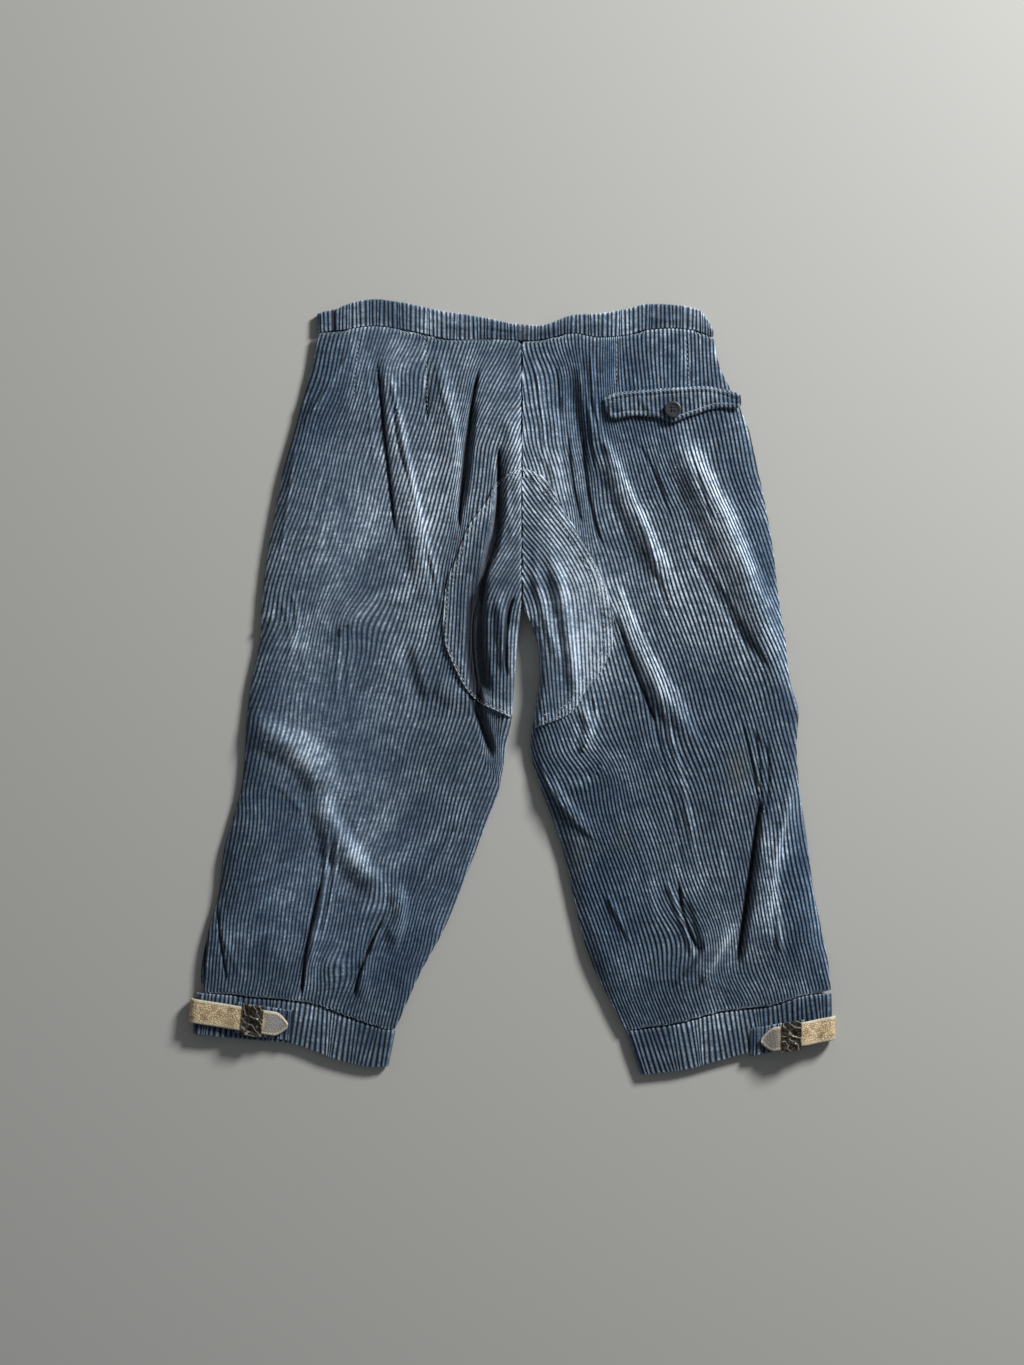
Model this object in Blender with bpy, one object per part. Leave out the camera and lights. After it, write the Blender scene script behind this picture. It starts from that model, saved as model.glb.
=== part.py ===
"""A child's corduroy knee breeches, laid flat on a table with the back up and the waist away.

The frame: +X to the right as seen from above, +Y to the waist, +Z up. The origin is under the
middle of the garment, on the table. Sizes are in millimetres here and turned to metres when a
mesh is made.
"""

import math
from collections import namedtuple

import bmesh
import bpy
from mathutils import Vector

for old in list(bpy.data.objects):
    bpy.data.objects.remove(old, do_unlink=True)

MM = 0.001

# Cloth and seams
WALL = 1.8  # wide-wale corduroy with its lining of seam allowances
BAND_WALL = 2.4  # the bands are folded double
SEAM_GAP = 0.3
CENTRE_SEAM_X = 6.8
STEEPEST = 1.7  # the wall is measured across the slope up to this stretch
BACK_FLOOR = WALL + SEAM_GAP

# Heights of the back above the table
RIM_TOP = 4.7
EDGE_RISE = 3.8
EDGE_REACH = 15.0
CROWN_RISE = 2.4
CROWN_REACH = 52.0
SWELL_POWER = 2.2
BAND_LOW = BAND_WALL + 2 * SEAM_GAP
BAND_TOP = BAND_LOW + BAND_WALL
SEAM_HOLD = 45.0  # the bands hold the cloth down this far from their seams
SEAM_PUFF = 0.25  # the share of the relief that is left at a seam

# Grids of the panels
ACROSS = 24
ALONG = 40
EDGE_CLOSER = 0.03
FRONT_ACROSS = 12
FRONT_ALONG = 18
FRONT_END_GAP = 0.6  # a front's few columns cut the corners of the curved seams
FRONT_INSET = 1.5  # the fronts lie this far inside the backs' outline

# Each row is one section of a leg, from the waist seam down to the cuff seam
Section = namedtuple("Section", "outer_x outer_y inner_x inner_y")
LEFT_LEG = [
    Section(-132.6, 240.4, 6.8, 234.9),
    Section(-136.0, 217.6, 6.8, 212.2),
    Section(-147.7, 174.8, 6.8, 170.7),
    Section(-155.0, 148.9, 6.8, 146.2),
    Section(-161.7, 115.6, 6.8, 114.9),
    Section(-166.6, 86.4, 6.8, 86.4),
    Section(-170.0, 55.1, 6.4, 56.4),
    Section(-171.0, 32.0, 4.4, 36.4),
    Section(-176.8, 4.8, 2.0, 7.5),
    Section(-179.9, -20.4, 0.0, -20.4),
    Section(-181.2, -42.8, -4.4, -44.2),
    Section(-183.3, -66.6, -8.2, -68.6),
    Section(-189.0, -87.7, -17.0, -92.8),
    Section(-195.8, -112.2, -26.9, -117.6),
    Section(-198.9, -140.1, -38.1, -146.2),
    Section(-204.7, -159.8, -48.3, -169.3),
    Section(-210.1, -180.2, -61.9, -193.8),
    Section(-214.2, -206.7, -78.9, -231.9),
]
RIGHT_LEG = [
    Section(136.7, 237.3, 6.8, 234.9),
    Section(141.4, 216.9, 6.8, 212.2),
    Section(151.6, 196.5, 6.8, 191.8),
    Section(160.8, 174.8, 6.8, 170.7),
    Section(166.9, 148.9, 6.8, 146.2),
    Section(173.7, 115.6, 6.8, 114.9),
    Section(178.2, 86.4, 6.8, 86.4),
    Section(181.9, 55.1, 8.0, 54.4),
    Section(185.6, 32.0, 16.3, 34.7),
    Section(188.4, 4.8, 19.0, 8.2),
    Section(194.5, -14.9, 15.0, -18.4),
    Section(193.5, -38.0, 12.6, -41.5),
    Section(194.5, -63.2, 17.7, -63.9),
    Section(197.9, -87.0, 26.5, -87.7),
    Section(201.3, -110.8, 34.7, -110.8),
    Section(204.7, -138.0, 40.8, -138.0),
    Section(208.8, -158.4, 46.2, -161.2),
    Section(214.2, -182.9, 53.7, -187.0),
    Section(216.9, -207.4, 76.8, -232.9),
]
CROTCH_Y = 43.0

# How far a seam rises above the straight line between its ends, across a panel from outer to inner
Rise = namedtuple("Rise", "across rise")
LEFT_WAIST = [
    Rise(0, 0),
    Rise(0.1, 1.9),
    Rise(0.27, 5.9),
    Rise(0.38, 5.1),
    Rise(0.48, 3.0),
    Rise(0.65, -1.2),
    Rise(0.86, 0.3),
    Rise(1, 0),
]
RIGHT_WAIST = [
    Rise(0, 0),
    Rise(0.08, 4.3),
    Rise(0.2, 6.5),
    Rise(0.36, 5.7),
    Rise(0.45, 2.5),
    Rise(0.6, 1.3),
    Rise(0.74, 4.4),
    Rise(0.9, 0.6),
    Rise(1, 0),
]
LEFT_CUFF = [Rise(0, 0), Rise(0.3, 3.7), Rise(0.58, 6.5), Rise(0.76, 2.1), Rise(0.94, -1.1), Rise(1, 0)]
RIGHT_CUFF = [Rise(0, 0), Rise(0.12, 1.6), Rise(0.3, -1.4), Rise(0.52, 0.8), Rise(0.75, -1.7), Rise(1, 0)]
WAIST_FADE = 0.12  # the waist seam's waves have gone by this share of the leg's length
CUFF_FADE = 0.12

# The height of the waistband as it lies, across each half from the side to the centre seam
BandHeight = namedtuple("BandHeight", "across height")
LEFT_BAND = [
    BandHeight(0, 11.0),
    BandHeight(0.03, 14.4),
    BandHeight(0.1, 15.2),
    BandHeight(0.13, 17.0),
    BandHeight(0.2, 18.6),
    BandHeight(0.5, 18.8),
    BandHeight(0.68, 18.8),
    BandHeight(0.78, 16.3),
    BandHeight(0.92, 12.4),
    BandHeight(1, 11.4),
]
RIGHT_BAND = [
    BandHeight(0, 5.0),
    BandHeight(0.03, 10.5),
    BandHeight(0.07, 14.8),
    BandHeight(0.2, 16.4),
    BandHeight(0.42, 18.3),
    BandHeight(0.6, 16.6),
    BandHeight(0.77, 12.2),
    BandHeight(0.88, 10.2),
    BandHeight(1, 11.4),
]
FRONT_WRAP = 12.0  # the front waistband comes round the left side by this much
LEFT_WAIST_WIDE = CENTRE_SEAM_X - LEFT_LEG[0].outer_x

# The bottom edge of each cuff, across it from outer to inner
Hem = namedtuple("Hem", "across x y")
LEFT_HEM = [
    Hem(0, -217.2, -235.6),
    Hem(0.27, -180.9, -239.4),
    Hem(0.52, -147.6, -242.8),
    Hem(0.72, -121.7, -252.3),
    Hem(0.9, -97.5, -258.2),
    Hem(1, -84.0, -257.2),
]
RIGHT_HEM = [
    Hem(0, 216.6, -236.5),
    Hem(0.16, 196.0, -242.0),
    Hem(0.44, 159.1, -248.9),
    Hem(0.73, 121.7, -259.1),
    Hem(0.86, 104.7, -261.8),
    Hem(1, 87.7, -263.4),
]

# The largest folds: where each starts, bends and ends, its reach to the left and to the right of
# that line as seen from above, and its height, negative for a trough
Fold = namedtuple("Fold", "name x0 y0 x1 y1 x2 y2 west east height")
FOLDS = [
    Fold("left dart crease", -86, 229, -83, 165, -74, 93, 3, 12, 1.8),
    Fold("left dart ridge", -80, 201, -68, 131, -53, 42, 12, 5, 2.8),
    Fold("left seat ridge", -51, 235, -41, 182, -36, 110, 14, 6, 2.4),
    Fold("left seat trough", -26, 199, -31, 154, -37, 108, 4, 5, -3.5),
    Fold("left cleft trough", -10, 165, -9, 117, -20, 73, 4, 5, -5.0),
    Fold("left crotch hollow", -20, 83, -24, 35, -17, -12, 9, 8, -7.0),
    Fold("left crotch lip", -10, 69, -6, 35, -3, 5, 6, 5, 2.5),
    Fold("left inner trough", -26, 2, -20, -24, -12, -51, 4, 5, -3.5),
    Fold("left thigh valley", -71, 29, -68, 8, -58, -17, 7, 7, -2.0),
    Fold("left thigh bulge", -52, 3, -44, -3, -35, -12, 11, 11, 2.2),
    Fold("left hip seam", -105, 239, -122, 205, -146, 173, 3, 4, 1.3),
    Fold("left knee fold", -185, -25, -144, -44, -123, -78, 14, 14, 4.5),
    Fold("left shin fold", -129, -67, -115, -104, -82, -140, 13, 8, 4.5),
    Fold("left calf fold", -80, -133, -79, -158, -85, -182, 11, 5, 3.2),
    Fold("left calf crease", -135, -157, -139, -184, -141, -211, 3, 11, 2.2),
    Fold("left calf pucker", -99, -179, -102, -194, -103, -213, 3, 8, 2.0),
    Fold("centre ridge", -2, 192, 1, 158, 4, 122, 8, 7, 1.6),
    Fold("right waist ridge", 47, 231, 49, 195, 63, 158, 9, 4, 2.2),
    Fold("right seat ridge", 60, 169, 84, 116, 112, 62, 13, 7, 3.6),
    Fold("right seat valley", 37, 233, 44, 187, 52, 124, 7, 6, -2.5),
    Fold("right cleft ridge", 30, 195, 31, 158, 31, 119, 10, 6, 2.4),
    Fold("right thigh ridge", 105, 178, 143, 102, 194, -17, 16, 14, 5.5),
    Fold("right knee ridge", 69, 69, 90, 18, 136, -53, 11, 7, 3.2),
    Fold("right patch ridge", 25, 100, 38, 39, 44, -17, 7, 6, 3.4),
    Fold("right patch pucker", 45, -9, 52, -28, 46, -46, 6, 5, 2.4),
    Fold("right crotch lip", 14, 86, 22, 51, 35, 8, 5, 4, 2.0),
    Fold("right light fold", 25, -59, 37, -79, 58, -99, 6, 4, 2.0),
    Fold("right light fork", 35, -69, 53, -64, 69, -43, 4, 4, 1.6),
    Fold("right calf gash", 172, -75, 165, -135, 156, -196, 3, 12, 3.4),
    Fold("right side step", 194, -67, 176, -123, 176, -189, 13, 4, 3.2),
    Fold("right calf ridge", 148, -162, 138, -182, 124, -205, 7, 5, 2.4),
    Fold("right calf valley", 116, -141, 122, -162, 128, -184, 5, 5, -1.8),
]
FOLD_STEPS = 10
FOLD_TAPER = 0.25  # each fold dies away over this share of its length at both ends

# Seat reinforcement, sewn on top of the backs: its outline on each side of the centre seam
PATCH_WALL = 1.4
LEFT_PATCH = [
    (9, 149.5),
    (6.8, 148.6),
    (-10.2, 139.4),
    (-17.0, 126.5),
    (-29.2, 109.7),
    (-38.3, 86.4),
    (-44.5, 70.7),
    (-47.0, 45.8),
    (-45.2, 27.9),
    (-37.6, 9.7),
    (-30.6, -2.7),
    (-22.4, -10.9),
    (-11.2, -16.3),
    (9, -25.5),
]
RIGHT_PATCH = [
    (4, 149.5),
    (6.8, 148.6),
    (17.0, 145.0),
    (26.2, 138.0),
    (34.6, 121.0),
    (50.3, 95.9),
    (59.6, 79.2),
    (66.5, 57.1),
    (69.0, 42.2),
    (67.2, 23.8),
    (58.2, 7.0),
    (49.6, -4.1),
    (42.8, -15.0),
    (31.8, -22.2),
    (4, -31.5),
]

# Hip pocket flap and its button
FLAP_WALL = 1.8
FLAP_OUTLINE = [
    (61.2, 194.5),
    (68.6, 198.6),
    (90.4, 201.2),
    (126.9, 203.6),
    (138.7, 202.6),
    (152.3, 199.2),
    (155.7, 195.2),
    (153.0, 188.7),
    (138.7, 188.7),
    (126.9, 185.1),
    (118.3, 182.2),
    (108.5, 178.6),
    (100.0, 181.6),
    (83.0, 183.3),
    (66.9, 181.8),
]
FLAP_HINGE_Y = 198.0
FLAP_TILT = 0.07  # the free edge stands off the cloth by this much for each millimetre
FLAP_REACH = 6.0  # the flap's end runs past the side of the leg
BUTTON_X = 108.7
BUTTON_Y = 187.5
BUTTON_RADIUS = 5.6
BUTTON_THICK = 2.4
BUTTON_DISH_RADIUS = 3.9
BUTTON_DISH_DEEP = 0.6
BUTTON_HOLE_RADIUS = 0.8
BUTTON_HOLE_OFF_CENTRE = 1.5

# Cuffs, tabs, straps and buckles
STRAP_WALL = 2.0
STRAP_WIDE = 16.4
STRAP_INSIDE = 12.0  # the strap is sewn on under the cuff over this length
STRAP_STEP = 2.6
STRAP_TIP = 9.0
TIP_SHAPE = ((0.35, 0.78), (0.7, 0.5), (1.0, 0.2))  # share of the tip's length, share of the full width
LEVEL_BEFORE_BUCKLE = 2.0
RISES_OVER = 11.0
LEVEL_AFTER_BUCKLE = 1.5
FALLS_OVER = 12.0
TAB_WALL = 1.6
TURN_RADIUS = BAND_WALL / 2 + SEAM_GAP
TURN_STEPS = 4
CUFF_STATIONS = 15
LIFT = STRAP_WALL + SEAM_GAP  # the cuff lies over the strap's sewn end
LIFT_FULL = 16.0
LIFT_GONE = 32.0
BUCKLE_PLATE = 1.1
BUCKLE_RELIEF = 0.7
BUCKLE_BEVEL = 0.35
BAR_HALF = 0.9
BAR_MARGIN = 1.8
BARS = ((-0.85, -0.3), (-0.3, 0.3), (0.3, 0.85))  # where each bar starts and ends across the buckle

# One row for each strap: where its outer fold and its tip lie, where its buckle starts and ends along
# it, the height of the buckle, where the tab starts and ends, and the tab's height
Fastening = namedtuple(
    "Fastening", "fold_x fold_y tip_x tip_y buckle_from buckle_to buckle_high tab_from tab_to tab_high"
)
LEFT_FASTENING = Fastening(-218.7, -218.9, -151.8, -229.4, 36.5, 50.5, 21.0, 31.0, 71.0, 21.0)
RIGHT_FASTENING = Fastening(219.4, -230.8, 168.6, -239.8, 24.0, 37.6, 19.6, 20.0, 59.0, 19.0)


def smooth(share):
    """0 to 1 with a soft start and end."""
    share = min(max(share, 0.0), 1.0)
    return share * share * (3 - 2 * share)


def catmull(before, start, end, after, share):
    """A value on the curve through four neighbours, between the middle two."""
    pull = (end - before) / 2
    push = (after - start) / 2
    jump = start - end
    return ((2 * jump + pull + push) * share + (-3 * jump - 2 * pull - push)) * share * share + (
        pull * share + start
    )


def read_rows(rows, where):
    """The columns of a table, after its first, at a value of the first."""
    last = len(rows) - 2
    i = 0
    while i < last and rows[i + 1][0] < where:
        i += 1
    share = (where - rows[i][0]) / (rows[i + 1][0] - rows[i][0])
    share = min(max(share, 0.0), 1.0)
    values = []
    for start, end, column in zip(rows[i][1:], rows[i + 1][1:], range(1, len(rows[0]))):
        before = rows[i - 1][column] if i else 2 * start - end
        after = rows[i + 2][column] if i < last else 2 * end - start
        values.append(catmull(before, start, end, after, share))
    return values


class Leg:
    """One back panel's outline and height."""

    def __init__(self, sections, waist_rise, cuff_rise):
        self.waist_rise = waist_rise
        self.cuff_rise = cuff_rise
        self.length = 0.0
        self.rows = []
        for i, section in enumerate(sections):
            if i:
                before = sections[i - 1]
                step_x = (section.outer_x + section.inner_x - before.outer_x - before.inner_x) / 2
                step_y = (section.outer_y + section.inner_y - before.outer_y - before.inner_y) / 2
                self.length += math.hypot(step_x, step_y)
            self.rows.append((self.length, *section))
        self.side = [Vector((s.outer_x, s.outer_y)) for s in sections]
        self.inseam = [Vector((s.inner_x, s.inner_y)) for s in sections if s.inner_y < CROTCH_Y]

    def point(self, across, along):
        """The place in the plan, from the side (0) to the inseam (1) and from waist (0) to cuff (1)."""
        outer_x, outer_y, inner_x, inner_y = read_rows(self.rows, along * self.length)
        x = outer_x + (inner_x - outer_x) * across
        y = outer_y + (inner_y - outer_y) * across
        y += read_rows(self.waist_rise, across)[0] * smooth(1 - along / WAIST_FADE)
        y += read_rows(self.cuff_rise, across)[0] * smooth(1 - (1 - along) / CUFF_FADE)
        return Vector((x, y))


def to_line(place, line):
    """The distance to a line of points in the plan, and the share of the way along it."""
    nearest = None
    count = len(line) - 1
    for i in range(count):
        run = line[i + 1] - line[i]
        share = min(max((place - line[i]).dot(run) / run.length_squared, 0.0), 1.0)
        off = place - line[i] - run * share
        if nearest is None or off.length < abs(nearest[0]):
            side = 1 if off.x >= 0 else -1
            nearest = (off.length * side, (i + share) / count)
    return nearest


def fold_line(fold):
    """Points on the bend through a fold's start, middle and end."""
    start = Vector((fold.x0, fold.y0))
    middle = Vector((fold.x1, fold.y1))
    end = Vector((fold.x2, fold.y2))
    pull = 2 * middle - (start + end) / 2
    shares = [i / FOLD_STEPS for i in range(FOLD_STEPS + 1)]
    return [start * (1 - s) ** 2 + pull * (2 * s * (1 - s)) + end * s**2 for s in shares]


FOLD_LINES = [(fold, fold_line(fold)) for fold in FOLDS]


def folds_height(place):
    """The sum of all folds at a place."""
    total = 0.0
    for fold, line in FOLD_LINES:
        off, share = to_line(place, line)
        reach = fold.east if off > 0 else fold.west
        if abs(off) >= reach:
            continue
        bell = (1 - (off / reach) ** 2) ** 2
        taper = smooth(share / FOLD_TAPER) * smooth((1 - share) / FOLD_TAPER)
        total += fold.height * bell * taper
    return total


def swell(distance, reach):
    """0 at an edge and 1 from reach inwards, steepest at the edge."""
    share = min(distance / reach, 1.0)
    return 1 - (1 - share) ** SWELL_POWER


def back_height(leg, place, along):
    """The top of a back panel above the table."""
    edge = abs(to_line(place, leg.side)[0])
    edge = min(edge, abs(to_line(place, leg.inseam)[0]))
    rise = EDGE_RISE * swell(edge, EDGE_REACH) + CROWN_RISE * swell(edge, CROWN_REACH)
    loose = RIM_TOP + rise + folds_height(place)
    from_seam = min(along, 1 - along) * leg.length
    free = SEAM_PUFF + (1 - SEAM_PUFF) * smooth(from_seam / SEAM_HOLD)
    return (BAND_TOP + SEAM_GAP) * (1 - free) + loose * free


def solid(name, points, faces, colour, roughness, metallic=0.0, flat=False):
    """A mesh object from points in millimetres, with its own material."""
    mesh = bpy.data.meshes.new(name)
    mesh.from_pydata([Vector(p) * MM for p in points], [], faces)
    form = bmesh.new()
    form.from_mesh(mesh)
    bmesh.ops.recalc_face_normals(form, faces=form.faces)
    form.to_mesh(mesh)
    form.free()
    if not flat:
        mesh.shade_smooth()
        mesh.set_sharp_from_angle(angle=math.radians(50))
    item = bpy.data.objects.new(name, mesh)
    bpy.context.scene.collection.objects.link(item)
    finish = bpy.data.materials.new(name)
    finish.use_nodes = True
    shader = finish.node_tree.nodes["Principled BSDF"]
    shader.inputs["Base Color"].default_value = (*colour, 1.0)
    shader.inputs["Roughness"].default_value = roughness
    shader.inputs["Metallic"].default_value = metallic
    mesh.materials.append(finish)
    return item


CORDUROY = (0.115, 0.16, 0.25)
CORDUROY_WORN = (0.17, 0.215, 0.31)
LEATHER = (0.36, 0.25, 0.12)
BRONZE = (0.10, 0.075, 0.055)
HORN = (0.06, 0.065, 0.075)
CLOTH_ROUGH = 0.95


def sheet_faces(columns, rows, heights):
    """Faces of a closed sheet: a grid of top points, then the same grid of underside points.

    Each square is split along its flatter diagonal, so that ridges run clean across the grid.
    """
    under = columns * rows
    faces = []
    for j in range(rows - 1):
        for i in range(columns - 1):
            a = j * columns + i
            b = a + columns
            if abs(heights[a] - heights[b + 1]) <= abs(heights[a + 1] - heights[b]):
                halves = [(a, a + 1, b + 1), (a, b + 1, b)]
            else:
                halves = [(a, a + 1, b), (a + 1, b + 1, b)]
            faces += halves
            faces += [(under + p, under + r, under + q) for p, q, r in halves]
    rim = list(range(columns))
    rim += [j * columns + columns - 1 for j in range(1, rows)]
    rim += [(rows - 1) * columns + i for i in reversed(range(columns - 1))]
    rim += [j * columns for j in reversed(range(1, rows - 1))]
    for a, b in zip(rim, rim[1:] + rim[:1]):
        faces.append((a, under + a, under + b, b))
    return faces


def spread(count):
    """Shares from 0 to 1, a little closer at both ends."""
    shares = [i / count for i in range(count + 1)]
    return [s - EDGE_CLOSER * math.sin(2 * math.pi * s) for s in shares]


def back_grid(leg):
    """The top points of a back panel, row by row, and the stretch of its wall at each."""
    tops = []
    stretches = []
    probe = 1.0
    for j in range(ALONG + 1):
        along = j / ALONG
        for across in spread(ACROSS):
            place = leg.point(across, along)
            if abs(place.x - CENTRE_SEAM_X) < SEAM_GAP:
                place.x += math.copysign(SEAM_GAP / 2, leg.side[0].x)
            if j == 0:
                place.y -= SEAM_GAP
            height = back_height(leg, place, along)
            slope_x = back_height(leg, place + Vector((probe, 0)), along) - height
            slope_y = back_height(leg, place + Vector((0, probe)), along) - height
            stretch = min(math.sqrt(1 + slope_x**2 + slope_y**2), STEEPEST)
            height = max(height, BACK_FLOOR + WALL * stretch)
            tops.append(Vector((*place, height)))
            stretches.append(stretch)
    return tops, stretches


def make_back(name, leg):
    tops, stretches = back_grid(leg)
    under = [top - Vector((0, 0, WALL * stretch)) for top, stretch in zip(tops, stretches)]
    faces = sheet_faces(ACROSS + 1, ALONG + 1, [top.z for top in tops])
    solid(name, tops + under, faces, CORDUROY, CLOTH_ROUGH)
    return tops


def make_front(name, leg):
    """A front panel lies flat under the back, a little inside its outline."""
    tops = []
    for j in range(FRONT_ALONG + 1):
        along = j / FRONT_ALONG
        wide = abs(leg.point(0, along).x - leg.point(1, along).x)
        inset = FRONT_INSET / wide
        inner_inset = inset
        if leg.point(1, along).y > CROTCH_Y:
            inner_inset = SEAM_GAP / 2 / wide
        for i in range(FRONT_ACROSS + 1):
            across = inset + (1 - inset - inner_inset) * i / FRONT_ACROSS
            place = leg.point(across, along)
            if j == 0:
                place.y -= FRONT_END_GAP
            if j == FRONT_ALONG:
                place.y += FRONT_END_GAP
            tops.append(Vector((*place, WALL)))
    under = [Vector((top.x, top.y, 0)) for top in tops]
    faces = sheet_faces(FRONT_ACROSS + 1, FRONT_ALONG + 1, [top.z for top in tops])
    solid(name, tops + under, faces, CORDUROY, CLOTH_ROUGH)


def band_loop(low, high, normal, wall):
    """Eight points round a band's cross-section, between its two edges."""
    run = (high - low).normalized()
    out = normal * (wall / 2)
    soft = wall * 0.35
    shoulder = out * 0.45
    return [
        low + run * soft - out,
        high - run * soft - out,
        high - shoulder,
        high + shoulder,
        high - run * soft + out,
        low + run * soft + out,
        low + shoulder,
        low - shoulder,
    ]


def loft(name, loops, colour, roughness, closed=False, metallic=0.0):
    """A solid through loops of points, with ends capped or joined."""
    size = len(loops[0])
    points = [p for loop in loops for p in loop]
    faces = []
    pairs = len(loops) if closed else len(loops) - 1
    for i in range(pairs):
        a = i * size
        b = (i + 1) % len(loops) * size
        for k in range(size):
            m = (k + 1) % size
            faces.append((a + k, a + m, b + m, b + k))
    if not closed:
        faces.append(tuple(range(size)))
        faces.append(tuple(range(len(points) - size, len(points))))
    return solid(name, points, faces, colour, roughness, metallic)


def waist_edges(leg, table, across):
    """A waistband's lower and upper edge in the plan."""
    low = leg.point(across, 0)
    high = low + Vector((0, read_rows(table, across)[0]))
    return low, high


def make_back_band(name, leg, table, first):
    loops = []
    steps = 16
    side_x = math.copysign(SEAM_GAP / 2, leg.side[0].x)
    for i in range(steps + 1):
        across = first + (1 - first) * i / steps
        low, high = waist_edges(leg, table, across)
        shift = side_x if i == steps else 0.0
        middle = (BAND_LOW + BAND_TOP) / 2
        ends = [Vector((edge.x + shift, edge.y, middle)) for edge in (low, high)]
        loops.append(band_loop(*ends, Vector((0, 0, 1)), BAND_WALL))
    loft(name, loops, CORDUROY, CLOTH_ROUGH)


def make_front_band(name, left, right):
    """The front waistband lies below and comes round the left side on to the top."""
    flat_z = BAND_WALL / 2
    turn_z = flat_z + TURN_RADIUS
    inset = 0.5
    loops = []

    def add(low, high, z, normal):
        ends = [Vector((low.x, low.y + inset, z)), Vector((high.x, high.y - inset, z))]
        loops.append(band_loop(*ends, normal, BAND_WALL))

    steps = 14
    for i in range(steps + 1):
        across = 0.005 + 0.995 * i / steps
        add(*waist_edges(right, RIGHT_BAND, across), flat_z, Vector((0, 0, 1)))
    turn_share = (TURN_RADIUS + BAND_WALL / 2) / LEFT_WAIST_WIDE
    for i in range(1, steps + 1):
        across = 1 - (1 - turn_share) * i / steps
        add(*waist_edges(left, LEFT_BAND, across), flat_z, Vector((0, 0, 1)))
    low, high = waist_edges(left, LEFT_BAND, turn_share)
    for i in range(1, TURN_STEPS + 1):
        angle = math.pi * i / TURN_STEPS
        shift = Vector((-TURN_RADIUS * math.sin(angle), 0))
        normal = Vector((math.sin(angle), 0, math.cos(angle)))
        add(low + shift, high + shift, turn_z - TURN_RADIUS * math.cos(angle), normal)
    wrap_share = (FRONT_WRAP - SEAM_GAP) / LEFT_WAIST_WIDE
    for i in range(1, 4):
        across = turn_share + (wrap_share - turn_share) * i / 3
        add(*waist_edges(left, LEFT_BAND, across), turn_z + TURN_RADIUS, Vector((0, 0, -1)))
    loft(name, loops, CORDUROY, CLOTH_ROUGH)


def lift_at(distance):
    """How far a cuff is raised by the strap's sewn end, from its outer edge inwards."""
    return LIFT * smooth((LIFT_GONE - distance) / (LIFT_GONE - LIFT_FULL))


def cuff_edges(leg, hem, across):
    """A cuff's upper and lower edge in the plan."""
    top = leg.point(across, 1)
    low = Vector(read_rows(hem, across))
    top += (low - top).normalized() * SEAM_GAP
    return top, low


def make_cuff(name, leg, hem):
    """A flattened ring: the back layer, the inner turn, the front layer and the outer turn."""
    wide = (leg.point(0, 1) - leg.point(1, 1)).length
    inset = (TURN_RADIUS + BAND_WALL / 2) / wide
    inward = (leg.point(1, 1) - leg.point(0, 1)).normalized()
    shares = [inset + (1 - 2 * inset) * i / CUFF_STATIONS for i in range(CUFF_STATIONS + 1)]
    middle = BAND_WALL / 2 + TURN_RADIUS
    loops = []

    def add(across, reach, up, normal):
        low, high = cuff_edges(leg, hem, across)
        shift = inward * reach
        z = middle + up + lift_at(across * wide)
        ends = [Vector((edge.x + shift.x, edge.y + shift.y, z)) for edge in (low, high)]
        loops.append(band_loop(*ends, normal, BAND_WALL))

    for across in shares:
        add(across, 0, TURN_RADIUS, Vector((0, 0, 1)))
    for i in range(1, TURN_STEPS):
        angle = math.pi * i / TURN_STEPS
        normal = Vector((*(inward * math.sin(angle)), math.cos(angle)))
        add(shares[-1], TURN_RADIUS * math.sin(angle), TURN_RADIUS * math.cos(angle), normal)
    for across in reversed(shares):
        add(across, 0, -TURN_RADIUS, Vector((0, 0, -1)))
    for i in range(1, TURN_STEPS):
        angle = math.pi * i / TURN_STEPS
        normal = Vector((*(inward * -math.sin(angle)), -math.cos(angle)))
        add(shares[0], -TURN_RADIUS * math.sin(angle), -TURN_RADIUS * math.cos(angle), normal)
    loft(name, loops, CORDUROY, CLOTH_ROUGH, closed=True)


class Strap:
    """The line that a strap follows, and the heights of what lies under and on it."""

    def __init__(self, row, leg, hem):
        self.row = row
        fold = Vector((row.fold_x, row.fold_y))
        tip = Vector((row.tip_x, row.tip_y))
        self.fold = fold
        self.length = (tip - fold).length
        self.along = (tip - fold).normalized()
        self.cross = (leg.point(0, 1) - Vector(read_rows(hem, 0))).normalized()
        steps = [row.tab_from + (row.tab_to - row.tab_from) * i / 8 for i in range(9)]
        reached = [self.tab_top(s) for s in steps if s > row.buckle_from - 4]
        self.buckle_low = max(reached) + SEAM_GAP
        self.in_buckle = self.buckle_low + BUCKLE_PLATE + SEAM_GAP

    def tab_top(self, distance):
        return BAND_TOP + lift_at(distance - 4) + SEAM_GAP + TAB_WALL

    def underside(self, distance):
        """The strap's underside: on the cuff, up through the buckle, and down on to the tab."""
        start = BAND_TOP + LIFT + SEAM_GAP
        level = max(start, self.in_buckle)
        on_tab = self.tab_top(self.length) + SEAM_GAP
        rise = smooth(1 + (distance - self.row.buckle_from + LEVEL_BEFORE_BUCKLE) / RISES_OVER)
        fall = smooth((distance - self.row.buckle_to - LEVEL_AFTER_BUCKLE) / FALLS_OVER)
        return start + (level - start) * rise + (on_tab - level) * fall

    def place(self, distance, cross=0.0):
        return self.fold + self.along * distance + self.cross * cross


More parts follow.
